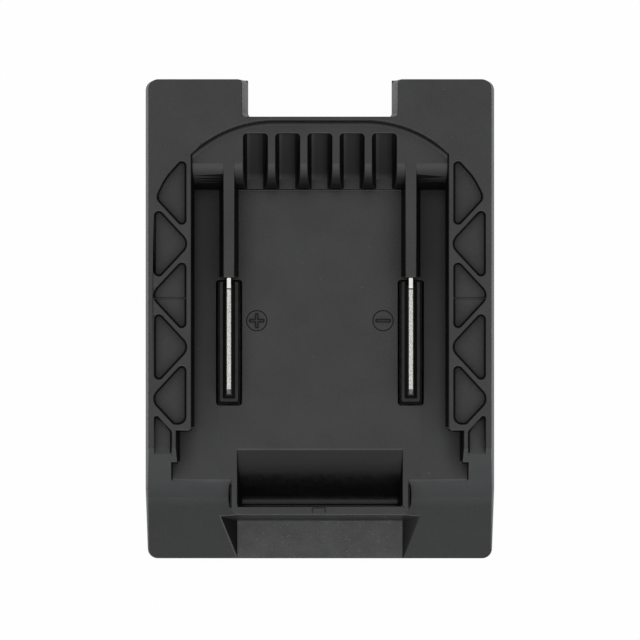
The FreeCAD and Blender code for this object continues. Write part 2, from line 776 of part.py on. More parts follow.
def make_cavity(body):
    """The hollow under the battery side, its screw bosses and the openings for the blade holders."""
    wall = size("wall")
    back_y = half_length - wall
    front_y = -half_length + wall
    notch_y = half_length - size("notch_depth") - wall
    below = split_z - MARGIN
    foot_z = front_edge_z + size("scoop_rise")
    sketch = new_sketch(body, "YZ_Plane", -half_inside, "cavity_profile")
    outline(sketch, [
        (front_y, below),
        (notch_y, below),
        (notch_y, ceiling_z),
        (-size("slope_top") + wall / 2, ceiling_z),
        (-size("catch_knee"), floor_z - size("catch_knee_drop") - size("knee_wall")),
        (-size("catch_toe"), floor_z - size("catch_slot_depth") - size("slot_wall")),
        (-size("catch_front"), floor_z - size("catch_slot_depth") - size("slot_wall")),
        (-size("scoop_back") + wall, foot_z - wall),
        (front_y, front_edge_z - wall),
    ])
    cut(body, sketch, half_inside * 2, "cavity")

    # Side chambers beside the notch, and cores up into the rails
    notch_side = size("notch_deck_width") / 2 + wall
    sketch = new_sketch(body, "XY_Plane", below, "side_chamber_outline")
    rectangle(sketch, notch_side, half_inside, notch_y - MARGIN, back_y, size("soft_radius"))
    chamber = cut(body, sketch, arch_z - wall - below, "side_chamber")
    sketch = new_sketch(body, "XY_Plane", ceiling_z - MARGIN, "rail_core_outline")
    rail_z = deck_z - size("truss_depth") - wall
    core_front = -size("slope_top") + wall
    rectangle(sketch, half_groove + wall, half_deck - wall, core_front, notch_y - MARGIN, size("fine_radius"))
    core = cut(body, sketch, rail_z - ceiling_z + MARGIN, "rail_core")
    mirror(body, [chamber, core], "side_hollows")

    sketch = new_sketch(body, "XY_Plane", split_z, "screw_boss_outline")
    for x in (-screw_x, screw_x):
        circle(sketch, x, screw_back, size("screw_boss"))
        circle(sketch, x, -screw_front, size("screw_boss"))
    add(body, sketch, size("screw_length"), "screw_bosses")
    sketch = new_sketch(body, "XY_Plane", split_z - MARGIN, "screw_pilots_outline")
    for x in (-screw_x, screw_x):
        circle(sketch, x, screw_back, size("screw_shank"))
        circle(sketch, x, -screw_front, size("screw_shank"))
    cut(body, sketch, size("screw_length"), "screw_pilots")

    ear_back = size("holder_back") + size("ear_screw_offset")
    ear_front = -size("holder_front") - size("ear_screw_offset")
    sketch = new_sketch(body, "XY_Plane", boss_z, "holder_boss_outline")
    for x in (-blade_x, blade_x):
        circle(sketch, x, ear_back, size("small_boss"))
        circle(sketch, x, ear_front, size("small_boss"))
    add(body, sketch, ceiling_z - boss_z + MARGIN / 2, "holder_bosses")
    sketch = new_sketch(body, "XY_Plane", boss_z - MARGIN, "holder_pilots_outline")
    for x in (-blade_x, blade_x):
        circle(sketch, x, ear_back, size("small_shank"))
        circle(sketch, x, ear_front, size("small_shank"))
    cut(body, sketch, size("small_length") - size("ear_thickness") + MARGIN * 2, "holder_pilots")

    half_opening = size("holder_width") / 2 + size("holder_gap")
    sketch = new_sketch(body, "XY_Plane", ceiling_z - MARGIN, "holder_opening_outline")
    for x in (-blade_x, blade_x):
        rectangle(
            sketch,
            x - half_opening,
            x + half_opening,
            -size("holder_front") - size("holder_gap"),
            size("holder_back") + size("holder_back_gap"),
            size("opening_radius"),
        )
    cut(body, sketch, size("floor_wall") + MARGIN * 2, "holder_openings")
    half_slot = size("blade_thickness") / 2 + size("blade_slot_gap")
    sketch = new_sketch(body, "XY_Plane", ceiling_z - MARGIN, "blade_slot_outline")
    for x in (-blade_x, blade_x):
        rectangle(sketch, x - half_slot, x + half_slot, size("holder_back"), size("rib_front"))
    cut(body, sketch, size("floor_wall") + MARGIN, "blade_slots")


def make_tool_side_shell():
    body = new_body("tool_side_shell")
    half_tower = size("tower_width") / 2
    corner = size("corner_radius")
    back = size("tower_back")
    front = -size("tower_front")

    sketch = new_sketch(body, "XY_Plane", plate_bottom_z, "plate_outline")
    half_front = half_base - size("front_taper")
    half_notch = size("notch_base_width") / 2
    notch_y = half_length - size("notch_depth")
    outline(sketch, [
        (-half_front, -half_length, corner),
        (half_front, -half_length, corner),
        (half_base, -size("front_taper_start")),
        (half_base, half_length, corner),
        (half_notch, half_length),
        (half_notch, notch_y, size("notch_radius")),
        (-half_notch, notch_y, size("notch_radius")),
        (-half_notch, half_length),
        (-half_base, half_length, corner),
        (-half_base, -size("front_taper_start")),
    ])
    add(body, sketch, size("plate_thickness"), "plate")

    sketch = new_sketch(body, "XY_Plane", 0, "tower_outline")
    rectangle(sketch, -half_tower, half_tower, front, back, corner)
    add(body, sketch, plate_bottom_z, "tower")

    # Undercut rails that the tool's foot slides along
    sketch = new_sketch(body, "XY_Plane", size("rail_lip"), "rail_outline")
    rectangle(sketch, half_tower - size("rail_undercut"), half_tower + MARGIN, -size("rail_front"), back + MARGIN)
    groove = cut(body, sketch, plate_bottom_z - size("rail_lip"), "rail_groove")
    mirror(body, [groove], "rail_grooves")

    # Hollow tower with two posts for the contact carrier
    wall = size("wall")
    half_hollow = half_tower - size("rail_undercut") - wall
    sketch = new_sketch(body, "XY_Plane", size("tower_floor"), "tower_hollow_outline")
    rectangle(sketch, -half_hollow, half_hollow, front + wall, back - wall, size("soft_radius"))
    cut(body, sketch, split_z - size("tower_floor") + MARGIN, "tower_hollow")
    post_x = size("carrier_ear_spacing") / 2
    sketch = new_sketch(body, "XY_Plane", size("tower_floor") - MARGIN / 2, "carrier_post_outline")
    for x in (-post_x, post_x):
        circle(sketch, x, size("carrier_ear_y"), size("carrier_post"))
    add(body, sketch, size("clip_top") - size("tower_floor") + MARGIN / 2, "carrier_posts")
    sketch = new_sketch(body, "XY_Plane", size("clip_top") - size("small_length") + MARGIN, "carrier_pilot_outline")
    for x in (-post_x, post_x):
        circle(sketch, x, size("carrier_ear_y"), size("small_shank"))
    cut(body, sketch, size("small_length"), "carrier_pilots")

    # Slots for the tool's blades, open at the face and at the back
    half_slot = size("slot_width") / 2
    sketch = new_sketch(body, "XY_Plane", -MARGIN, "slot_outline")
    rectangle(sketch, clip_x - half_slot, clip_x + half_slot, size("slot_front"), back + MARGIN)
    slot = cut(body, sketch, size("tower_floor") + MARGIN, "slot_floor")
    sketch = new_sketch(body, "XZ_Plane", -(back + MARGIN), "slot_back_outline")
    rectangle(sketch, clip_x - half_slot, clip_x + half_slot, -MARGIN, size("slot_height"))
    end = cut(body, sketch, wall + MARGIN * 2, "slot_back")
    mirror(body, [slot, end], "slots")

    # Windows for the latch hook and its press pad
    gap = size("latch_gap")
    half_press = size("press_width") / 2 + gap
    half_hook = size("hook_width") / 2 + gap
    sketch = new_sketch(body, "XY_Plane", plate_bottom_z - MARGIN, "latch_window_outline")
    outline(sketch, [
        (-half_press, -size("press_front") - gap),
        (half_press, -size("press_front") - gap),
        (half_press, -size("press_back") + gap),
        (half_hook, -size("press_back") + gap),
        (half_hook, -size("hook_back") + gap),
        (-half_hook, -size("hook_back") + gap),
        (-half_hook, -size("press_back") + gap),
        (-half_press, -size("press_back") + gap),
    ])
    cut(body, sketch, size("plate_thickness") + MARGIN * 2, "latch_window")

    # Posts that carry the latch retainer
    post_x = size("retainer_post_spacing") / 2
    sketch = new_sketch(body, "XY_Plane", split_z - MARGIN / 2, "retainer_post_outline")
    for x in (-post_x, post_x):
        circle(sketch, x, -size("spring_y"), size("retainer_post"))
    add(body, sketch, retainer_z - split_z + MARGIN / 2, "retainer_posts")
    pilot_z = retainer_z + size("retainer_thickness") - size("small_length")
    sketch = new_sketch(body, "XY_Plane", pilot_z - MARGIN / 2, "retainer_pilot_outline")
    for x in (-post_x, post_x):
        circle(sketch, x, -size("spring_y"), size("small_shank"))
    cut(body, sketch, size("small_length"), "retainer_pilots")

    # Screw holes with sunk heads, and two tongues inside the battery-side walls
    for name, low, diameter, depth in (
        ("screw_holes", plate_bottom_z - MARGIN, size("screw_shank") + size("screw_clearance"), None),
        ("screw_sinks", plate_bottom_z - MARGIN, size("screw_head") + size("screw_clearance") * 2, size("screw_head_height")),
    ):
        sketch = new_sketch(body, "XY_Plane", low, f"{name}_outline")
        for x in (-screw_x, screw_x):
            circle(sketch, x, screw_back, diameter)
            circle(sketch, x, -screw_front, diameter)
        length = size("plate_thickness") + MARGIN * 2 if depth is None else depth + MARGIN
        cut(body, sketch, length, name)
    tongue_x = half_inside - size("carrier_fit")
    sketch = new_sketch(body, "XY_Plane", split_z - MARGIN / 2, "tongue_outline")
    tongue_end = screw_front - size("screw_boss") / 2 - MARGIN
    rectangle(sketch, tongue_x - wall / 2, tongue_x, -tongue_end, tongue_end)
    tongue = add(body, sketch, size("tongue_height") + MARGIN / 2, "tongue")
    mirror(body, [tongue], "tongues")
    return body


def make_blade(label, side):
    """A stamped blade with a narrower root and a solder tag."""
    body = new_body(label)
    thickness = size("blade_thickness")
    top = deck_z - size("blade_drop")
    foot_z = holder_top_z - MARGIN
    inset = size("blade_root_inset")
    bevel = size("blade_bevel")
    fit = size("carrier_fit")
    sketch = new_sketch(body, "YZ_Plane", blade_x * side - thickness / 2, "blade_profile")
    outline(sketch, [
        (-size("tag_front"), tag_z),
        (-size("tag_back"), tag_z),
        (-size("tag_back"), root_z),
        (size("blade_back") - inset, root_z),
        (size("blade_back") - inset, foot_z),
        (size("holder_back"), foot_z),
        (size("holder_back"), floor_z + fit),
        (size("blade_back"), floor_z + fit),
        (size("blade_back"), top),
        (-size("blade_front") + bevel, top),
        (-size("blade_front"), top - size("blade_bevel_drop")),
        (-size("blade_front"), foot_z),
        (-size("blade_front") + inset, foot_z),
        (-size("blade_front") + inset, root_z),
        (-size("tag_front"), root_z),
    ])
    add(body, sketch, thickness, "blade")
    return body


def make_blade_holder(label, side):
    """The insert that carries a blade: a block in the floor, a tapered foot, and two screwed ears below."""
    body = new_body(label)
    middle = blade_x * side
    half_width = size("holder_width") / 2
    back = size("holder_back")
    front = -size("holder_front")
    sketch = new_sketch(body, "XY_Plane", holder_bottom_z, "block_outline")
    rectangle(sketch, middle - half_width, middle + half_width, front, back, size("fine_radius"))
    add(body, sketch, size("holder_depth"), "block")
    sketch = new_sketch(body, "XY_Plane", holder_top_z, "foot_outline")
    half_foot = size("foot_width") / 2
    foot_front = front + size("foot_margin")
    foot_back = back - size("foot_back_margin")
    rectangle(sketch, middle - half_foot, middle + half_foot, foot_front, foot_back)
    foot = add(body, sketch, size("foot_height"), "foot")
    foot.TaperAngle = -size("foot_taper").number
    bind(foot, "TaperAngle", -size("foot_taper"))
    sketch = new_sketch(body, "XY_Plane", holder_bottom_z, "ear_outline")
    half_ear = size("ear_width") / 2
    ear = size("ear_length")
    rectangle(sketch, middle - half_ear, middle + half_ear, front - ear, back + ear, size("soft_radius"))
    add(body, sketch, size("ear_thickness"), "ears")
    sketch = new_sketch(body, "XY_Plane", holder_bottom_z - MARGIN, "ear_hole_outline")
    offset = size("ear_screw_offset")
    hole = size("small_shank") + size("screw_clearance")
    circle(sketch, middle, back + offset, hole)
    circle(sketch, middle, front - offset, hole)
    cut(body, sketch, size("ear_thickness") + MARGIN * 2, "ear_holes")

    # The blade's own slot, wide at the top and narrow at the root
    thickness = size("blade_thickness")
    inset = size("blade_root_inset")
    foot_z = holder_top_z - MARGIN
    sketch = new_sketch(body, "XY_Plane", holder_bottom_z - MARGIN, "root_slot_outline")
    rectangle(
        sketch,
        middle - thickness / 2,
        middle + thickness / 2,
        -size("blade_front") + inset,
        size("blade_back") - inset,
    )
    cut(body, sketch, foot_z - holder_bottom_z + MARGIN, "root_slot")
    sketch = new_sketch(body, "XY_Plane", foot_z, "blade_slot_outline")
    rectangle(
        sketch,
        middle - thickness / 2,
        middle + thickness / 2,
        -size("blade_front"),
        size("blade_back") + MARGIN,
    )
    cut(body, sketch, size("foot_height") + MARGIN * 2, "blade_slot")
    return body


def sheet_profile(sketch, middle, sheet_thickness, half_width, top, half_throat, half_mouth, pinch_z, bottom):
    """The section of a folded sheet: a flat back, two legs that close to a throat, and flared lips."""
    t = sheet_thickness
    corners = [
        (middle - half_width, top),
        (middle - half_throat - t, pinch_z),
        (middle - half_mouth - t, bottom),
        (middle - half_mouth, bottom),
        (middle - half_throat, pinch_z),
        (middle - half_width + t, top - t),
        (middle + half_width - t, top - t),
        (middle + half_throat, pinch_z),
        (middle + half_mouth, bottom),
        (middle + half_mouth + t, bottom),
        (middle + half_throat + t, pinch_z),
        (middle + half_width, top),
    ]
    outline(sketch, corners)


def make_clip(label, side):
    """A female clip folded from sheet, open downwards, with a solder tag on its back."""
    body = new_body(label)
    middle = clip_x * side
    sheet_thickness = size("clip_sheet")
    sketch = new_sketch(body, "XZ_Plane", -size("clip_back"), "clip_section")
    sheet_profile(
        sketch,
        middle,
        sheet_thickness,
        size("clip_width") / 2,
        size("clip_top"),
        size("clip_throat") / 2,
        size("clip_mouth") / 2,
        size("clip_pinch"),
        size("clip_bottom"),
    )
    add(body, sketch, size("clip_back") - size("clip_front"), "clip")
    sketch = new_sketch(body, "YZ_Plane", middle - sheet_thickness / 2, "tag_profile")
    rectangle(
        sketch,
        size("clip_tag_front"),
        size("clip_tag_back"),
        size("clip_top") - sheet_thickness / 2,
        size("clip_tag_top"),
    )
    add(body, sketch, sheet_thickness, "tag")
    return body


def make_carrier():
    """The block that clamps both clips by their backs and is screwed to the tower's posts."""
    body = new_body("contact_carrier")
    half_width = size("carrier_width") / 2
    bottom = size("clip_top")
    thickness = size("carrier_thickness")
    post_x = size("carrier_ear_spacing") / 2
    ear_y = size("carrier_ear_y")
    half_ear = size("carrier_post") / 2
    sketch = new_sketch(body, "XY_Plane", bottom, "carrier_outline")
    outline(sketch, [
        (-half_width, size("carrier_front"), size("soft_radius")),
        (half_width, size("carrier_front"), size("soft_radius")),
        (half_width, ear_y - half_ear),
        (post_x + half_ear, ear_y - half_ear, size("soft_radius")),
        (post_x + half_ear, ear_y + half_ear, size("soft_radius")),
        (half_width, ear_y + half_ear),
        (half_width, size("carrier_back"), size("soft_radius")),
        (-half_width, size("carrier_back"), size("soft_radius")),
        (-half_width, ear_y + half_ear),
        (-post_x - half_ear, ear_y + half_ear, size("soft_radius")),
        (-post_x - half_ear, ear_y - half_ear, size("soft_radius")),
        (-half_width, ear_y - half_ear),
    ])
    add(body, sketch, thickness, "carrier")
    sketch = new_sketch(body, "XY_Plane", bottom - MARGIN, "tag_slot_outline")
    fit = size("carrier_fit")
    half_tag = size("clip_sheet") / 2 + fit
    for side in (-1, 1):
        middle = clip_x * side
        rectangle(
            sketch,
            middle - half_tag,
            middle + half_tag,
            size("clip_tag_front") - fit,
            size("clip_tag_back") + fit,
        )
        circle(sketch, post_x * side, ear_y, size("small_shank") + size("screw_clearance"))
    cut(body, sketch, thickness + MARGIN * 2, "tag_slots")
    return body


def make_latch():
    """One moulding: a flange, the hook that catches the tool and the pad that a finger presses."""
    body = new_body("release_latch")
    half_flange = size("flange_width") / 2
    half_hook = size("hook_width") / 2
    half_press = size("press_width") / 2
    spring_x = size("spring_spacing") / 2
    hook_z = plate_bottom_z - size("hook_reach")
    sketch = new_sketch(body, "XY_Plane", split_z, "flange_outline")
    rectangle(sketch, -half_flange, half_flange, -size("flange_front"), -size("flange_back"), size("soft_radius"))
    add(body, sketch, size("flange_thickness"), "flange")
    sketch = new_sketch(body, "YZ_Plane", -half_hook, "hook_profile")
    outline(sketch, [
        (-size("hook_front"), hook_z),
        (-size("hook_back") - size("hook_ramp"), hook_z, size("fine_radius")),
        (-size("hook_back"), plate_bottom_z),
        (-size("hook_back"), split_z + MARGIN / 2),
        (-size("hook_front"), split_z + MARGIN / 2),
    ])
    add(body, sketch, size("hook_width"), "hook")
    sketch = new_sketch(body, "XY_Plane", plate_bottom_z - size("press_proud"), "press_outline")
    rectangle(sketch, -half_press, half_press, -size("press_front"), -size("press_back"), size("soft_radius"))
    add(body, sketch, size("plate_thickness") + size("press_proud"), "press_pad")
    sketch = new_sketch(body, "XY_Plane", flange_top_z - MARGIN / 2, "pin_outline")
    for x in (-spring_x, spring_x):
        circle(sketch, x, -size("spring_y"), size("spring_pin"))
    add(body, sketch, size("spring_pin_height") + MARGIN / 2, "spring_pins")
    return body


def make_retainer():
    """The bar above the latch that the springs push against."""
    body = new_body("latch_retainer")
    low = retainer_z
    post_x = size("retainer_post_spacing") / 2
    spring_x = size("spring_spacing") / 2
    half_width = size("retainer_width") / 2
    middle_y = -size("spring_y")
    reach = post_x + size("retainer_post") / 2
    sketch = new_sketch(body, "XY_Plane", low, "bar_outline")
    rectangle(sketch, -reach, reach, middle_y - half_width, middle_y + half_width, size("soft_radius") * 2)
    add(body, sketch, size("retainer_thickness"), "bar")
    sketch = new_sketch(body, "XY_Plane", low - size("spring_pin_height"), "pin_outline")
    for x in (-spring_x, spring_x):
        circle(sketch, x, middle_y, size("spring_pin"))
    add(body, sketch, size("spring_pin_height") + MARGIN / 2, "spring_pins")
    sketch = new_sketch(body, "XY_Plane", low - MARGIN, "hole_outline")
    for x in (-post_x, post_x):
        circle(sketch, x, middle_y, size("small_shank") + size("screw_clearance"))
    cut(body, sketch, size("retainer_thickness") + MARGIN * 2, "holes")
    return body


def make_latch_spring(label, side):
    """A compression spring between the latch and its retainer."""
    body = new_body(label)
    wire = size("spring_wire")
    radius = (size("spring_outer") - wire) / 2
    middle_x = size("spring_spacing") / 2 * side
    middle_y = -size("spring_y")
    sketch = new_sketch(body, "XZ_Plane", 0, "wire_section")
    circle(sketch, radius, wire / 2, wire)
    coil = body.newObject("PartDesign::AdditiveHelix", "coil")
    coil.Profile = sketch
    coil.ReferenceAxis = (sketch, ["V_Axis"])
    coil.Mode = "pitch-turns-angle"
    turns = size("spring_turns")
    pitch = (spring_room - wire) / turns
    coil.Pitch = pitch.number
    coil.Turns = turns.number
    bind(coil, "Pitch", pitch)
    bind(coil, "Turns", turns)
    body.Tip = coil
    body.Placement = FreeCAD.Placement(
        FreeCAD.Vector(middle_x.number, middle_y.number, flange_top_z.number), FreeCAD.Rotation()
    )
    bind(body, "Placement.Base.x", middle_x)
    bind(body, "Placement.Base.y", middle_y)
    bind(body, "Placement.Base.z", flange_top_z)
    return body


def place(thing, x, y, z, rotation=None):
    x, y, z = sized(x), sized(y), sized(z)
    base = FreeCAD.Vector(x.number, y.number, z.number)
    thing.Placement = FreeCAD.Placement(base, rotation or FreeCAD.Rotation())
    for axis, value in (("x", x), ("y", y), ("z", z)):
        bind(thing, f"Placement.Base.{axis}", value)


def make_screws(label, kind, spots, upwards):
    """A group of like pan-head screws; each spot is the middle of the face that its head sits on."""
    shank = size(f"{kind}_shank")
    head = size(f"{kind}_head")
    head_height = size(f"{kind}_head_height")
    length = size(f"{kind}_length")
    tip = shank / 2
    screws = []
    for number, (x, y, z) in enumerate(spots, start=1):
        stem = doc.addObject("Part::Cylinder", f"{label}_stem_{number}")
        bind(stem, "Radius", shank / 2)
        bind(stem, "Height", length - tip)
        point = doc.addObject("Part::Cone", f"{label}_point_{number}")
        bind(point, "Radius1", shank / 2)
        bind(point, "Radius2", shank / 6)
        bind(point, "Height", tip)
        cap = doc.addObject("Part::Cylinder", f"{label}_cap_{number}")
        bind(cap, "Radius", head / 2)
        bind(cap, "Height", head_height)
        if upwards:
            place(stem, x, y, z)
            place(point, x, y, z + length - tip)
            place(cap, x, y, z - head_height)
        else:
            turned = FreeCAD.Rotation(FreeCAD.Vector(1, 0, 0), 180)
            place(stem, x, y, z, turned)
            place(point, x, y, z - length + tip, turned)
            place(cap, x, y, z + head_height, turned)
        screw = doc.addObject("Part::MultiFuse", f"{label}_{number}")
        screw.Shapes = [stem, point, cap]
        screws.append(screw)
    group = doc.addObject("Part::Compound", label)
    group.Label = label
    group.Links = screws
    return group


def wire_path(points, share=0.45):
    """Straight runs joined by tangent arcs, each as large as its two runs allow."""
    edges = []
    start = points[0]
    for index in range(1, len(points) - 1):
        here = points[index]
        back = points[index - 1] - here
        ahead = points[index + 1] - here
        reach = share * min(back.Length, ahead.Length)
        back.normalize()
        ahead.normalize()
        half_angle = back.getAngle(ahead) / 2
        radius = reach * math.tan(half_angle)
        enter = here + back * reach
        leave = here + ahead * reach
        centre = here + (back + ahead).normalize() * (radius / math.sin(half_angle))
        middle = centre + (here - centre).normalize() * radius
        print(f"wire radius {radius:.1f}")
        edges.append(Part.LineSegment(start, enter).toShape())
        edges.append(Part.Arc(enter, middle, leave).toShape())
        start = leave
    edges.append(Part.LineSegment(start, points[-1]).toShape())
    return Part.Wire(edges)


def make_wire(label, side):
    """The lead from a tool-side clip up to the blade above it, held at both ends."""
    radius = size("wire_diameter") / 2
    touch = size("wire_touch")
    clip_side = (clip_x - size("clip_sheet") / 2 - radius - touch) * side
    blade_side = (blade_x - size("blade_thickness") / 2 - radius - touch) * side
    low = size("clip_tag_top") - radius
    high = tag_z + radius
    stops = [
        (clip_side, size("clip_tag_back"), low),
        (clip_side, size("clip_tag_front") - size("wire_clip_run"), low),
        (blade_side, -size("tag_back") - size("wire_blade_run"), high),
        (blade_side, -size("tag_front"), high),
    ]
    points = [FreeCAD.Vector(*(sized(value).number for value in stop)) for stop in stops]
    path = wire_path(points)
    section = Part.Wire(Part.Circle(points[0], points[1] - points[0], radius.number).toShape())
    tube = path.makePipeShell([section], True, False)
    wire = doc.addObject("Part::Feature", label)
    wire.Label = label
    wire.Shape = tube
    wire.Placement = FreeCAD.Placement()
    expected = math.pi * radius.number ** 2 * path.Length
    print(f"{label}: volume {tube.Volume:.1f}, section times length {expected:.1f}, length {path.Length:.1f}")
    return wire


def write_parts(parts):
    failed = []
    for thing in doc.Objects:
        if {"Invalid", "Error"} & set(thing.State):
            failed.append(f"{thing.Label}: {thing.State}")
    for part in parts:
        if part.Shape.isNull() or not part.Shape.isValid():
            failed.append(f"{part.Label}: shape is null or not valid")
    if failed:
        raise RuntimeError("; ".join(failed))
    os.makedirs("parts", exist_ok=True)
    for part in parts:
        part.Shape.exportStep(f"parts/{part.Label}.step")
        box = part.Shape.BoundBox
        spans = f"{box.XMin:.1f} {box.XMax:.1f} {box.YMin:.1f} {box.YMax:.1f} {box.ZMin:.1f} {box.ZMax:.1f}"
        print(f"{part.Label}: {len(part.Shape.Solids)} solids, {part.Shape.Volume:.0f} mm3, {spans}")


parts = [make_battery_side_shell(), make_tool_side_shell()]
for name, side in (("positive", -1), ("negative", 1)):
    parts.append(make_blade(f"{name}_blade", side))
    parts.append(make_blade_holder(f"{name}_blade_holder", side))
    parts.append(make_clip(f"{name}_clip", side))
    parts.append(make_wire(f"{name}_wire", side))
parts.append(make_carrier())
parts.append(make_latch())
parts.append(make_retainer())
for name, side in (("left", -1), ("right", 1)):
    parts.append(make_latch_spring(f"{name}_latch_spring", side))

head_seat_z = plate_bottom_z + size("screw_head_height")
parts.append(make_screws("housing_screws", "screw", [
    (x, y, head_seat_z)
    for x in (-screw_x, screw_x)
    for y in (screw_back, -screw_front)
], True))
ear_back = size("holder_back") + size("ear_screw_offset")
ear_front = -size("holder_front") - size("ear_screw_offset")
parts.append(make_screws("blade_holder_screws", "small", [
    (x, y, holder_bottom_z)
    for x in (-blade_x, blade_x)
    for y in (ear_back, ear_front)
], True))
post_x = size("carrier_ear_spacing") / 2
carrier_top = size("clip_top") + size("carrier_thickness")
parts.append(make_screws("carrier_screws", "small", [
    (x, size("carrier_ear_y"), carrier_top) for x in (-post_x, post_x)
], False))
post_x = size("retainer_post_spacing") / 2
retainer_top = retainer_z + size("retainer_thickness")
parts.append(make_screws("retainer_screws", "small", [
    (x, -size("spring_y"), retainer_top) for x in (-post_x, post_x)
], False))

doc.recompute()
write_parts(parts)
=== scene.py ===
import json
import math

import bmesh
import bpy
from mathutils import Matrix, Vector
from mathutils.bvhtree import BVHTree


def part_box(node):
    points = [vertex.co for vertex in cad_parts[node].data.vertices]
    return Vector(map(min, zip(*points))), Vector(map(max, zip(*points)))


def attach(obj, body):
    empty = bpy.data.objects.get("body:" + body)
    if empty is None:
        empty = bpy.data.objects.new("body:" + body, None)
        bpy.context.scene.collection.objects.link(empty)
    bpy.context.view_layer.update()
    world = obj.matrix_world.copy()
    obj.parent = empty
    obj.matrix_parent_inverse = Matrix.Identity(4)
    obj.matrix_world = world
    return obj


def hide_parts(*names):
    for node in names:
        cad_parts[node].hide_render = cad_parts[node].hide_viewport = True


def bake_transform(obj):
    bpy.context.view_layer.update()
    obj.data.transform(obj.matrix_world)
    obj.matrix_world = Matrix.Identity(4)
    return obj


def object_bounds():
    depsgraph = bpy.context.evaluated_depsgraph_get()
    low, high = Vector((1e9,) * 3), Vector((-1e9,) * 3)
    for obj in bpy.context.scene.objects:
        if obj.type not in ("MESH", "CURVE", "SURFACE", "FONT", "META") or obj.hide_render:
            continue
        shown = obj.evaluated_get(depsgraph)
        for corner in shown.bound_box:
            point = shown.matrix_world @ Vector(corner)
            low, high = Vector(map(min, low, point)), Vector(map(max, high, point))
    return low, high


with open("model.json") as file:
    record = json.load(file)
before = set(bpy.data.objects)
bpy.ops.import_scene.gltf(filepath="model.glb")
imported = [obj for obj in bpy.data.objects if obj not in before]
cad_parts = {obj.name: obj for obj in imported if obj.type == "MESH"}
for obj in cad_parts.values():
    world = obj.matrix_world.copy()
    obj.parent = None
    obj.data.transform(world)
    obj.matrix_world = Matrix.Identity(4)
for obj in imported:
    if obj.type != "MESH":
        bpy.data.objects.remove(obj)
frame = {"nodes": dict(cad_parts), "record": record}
cad_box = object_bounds()

bl_info = {
    "name": "Battery Adapter",
    "version": (1, 0, 0),
    "blender": (4, 5, 0),
    "location": "3D Viewport > Sidebar > Adapter",
    "description": "Finishes the battery adapter's housings, contacts, latch and screws, and sets its stage",
    "category": "Object",
}

MM = 0.001
WHITE = (1.0, 1.0, 1.0)
COOL_WHITE = (1.0, 1.0, 1.02)
UP = Vector((0, 0, 1))
DOWN = Vector((0, 0, -1))
SIDES = (Vector((1, 0, 0)), Vector((-1, 0, 0)), Vector((0, 1, 0)), Vector((0, -1, 0)))
ALL_ROUND = (UP, DOWN, *SIDES)
SMOOTH_ANGLE = math.radians(32)
SHARP_ANGLE = math.radians(22)
INNER_ANGLE = math.radians(10)
FLAT_ANGLE = math.radians(0.2)
MERGE_DISTANCE = 0.01 * MM
ANY_RISE = (0, math.inf)

# The Z of a level face's normal is over this
LEVEL = 0.999

# Slots of the battery side, in the order of its materials; the edge highlight, painted shade, slope, scoop,
# strip, pocket, cell and end slots carry painted light or shade
GRAINED, POLISHED, PAINTED_SHADE, EDGE_HIGHLIGHT, SLOPE, PAD, SCOOP, STRIP, POCKET, CELL, END = range(11)

# Heights on the battery side, in mm
DECK = cad_box[1][2] / MM
POCKET_FLOOR = 43.6
LIP_UNDERSIDE = 41.6
FLOOR = 37.0
LEDGE = 29.5
SLOT_FLOOR = 28.3

# Places along it, in mm from its middle: the channel, the rails' lips, and the catch pocket's ledge and slot
BACK_WALL = 28.95
LIP_FRONT = -24.8
FLOOR_FRONT = -36.3
LEDGE_BACK = -39.5
LEDGE_FRONT = -41.1
SLOT_FRONT = -41.8

# Places across it, in mm from its middle: the rails' inner sides, the arch, the floor's outer strips, and
# the cuts that let the rounding of the channel's front keep its width at the corners
RAIL_SIDE = 28.9
ARCH_SIDE = 28.7
STRIP_EDGE = 22.5
FLOOR_CUT = 19.8
SLOPE_CUT = 33.2

# Boxes on the battery side, lowest and highest corner in mm
CATCH_ZONE = ((-18.6, -41.9, 28.0), (18.6, -28.8, 37.1))
CELL_ZONE = ((-17.3, 28.9, 37.2), (17.3, 41.6, 43.7))
END_ZONE = ((-RAIL_SIDE, 28.9, 36.9), (RAIL_SIDE, 36.2, 43.7))
SCOOP_ZONE = ((-22.8, -53.7, 15.0), (22.8, -43.6, 28.1))
FRONT_ZONE = ((-38.6, -53.7, 15.0), (38.6, -28.8, 45.1))
TRENCH_ZONE = ((-20.9, -43.2, 28.0), (20.9, -36.0, 36.9))
TOE_ZONE = ((-17.3, 31.9, 37.3), (17.3, 33.8, 39.0))

# The cells across the channel's end, the bands at their sides painted with shade, and half a cell's floor, in
# mm
CELLS = 5
CELL_PITCH = 7.2
CELL_BAND_LEFT = 1.85
CELL_BAND_RIGHT = 1.65
CELL_REACH = 2.5

# Painted light and shade along a surface, each a place in mm and a share of the surface's colour
# Painted shade on the floor's outer strips, darker towards the back and lighter than the plain floor near the
# front
STRIP_TONES = (
    (28.8, 0.05), (27.4, 0.2), (26.2, 0.47), (15.5, 0.49), (4.3, 0.66), (-13.6, 1.0), (-18, 1.1), (-27, 1.45),
)
# Across each cell: a painted highlight near the left side, painted shade towards the right
CELL_TONES = (
    (-CELL_BAND_LEFT, 0.03), (-1.7, 0.048), (-1.4, 0.032), (-0.9, 0.02), (0.4, 0.016), (1.2, 0.007),
    (CELL_BAND_RIGHT, 0.001),
)
# Down the rounding at the channel's end: lighter at the top, painted shade as it turns down
END_TONES = (
    (POCKET_FLOOR, 0.045), (43.53, 0.044), (43.4, 0.03), (43.18, 0.023), (42.75, 0.0135), (42.37, 0.007),
    (41.3, 0.004),
)

# Middle of the signs along the part, in mm
SIGN_PLACE = -0.3

# Screws in mm: radius and height of the head, radius of the shank, and whole length
LARGE_SCREW = (2.8, 1.3, 1.45, 12.3)
SMALL_SCREW = (1.8, 1.2, 0.95, 7.2)


# Selecting and editing

def deselect():
    bpy.ops.object.select_all(action="DESELECT")


def pick(*things):
    """Selects only these objects and makes the first one active."""
    deselect()
    for thing in things:
        thing.select_set(True)
    bpy.context.view_layer.objects.active = things[0]


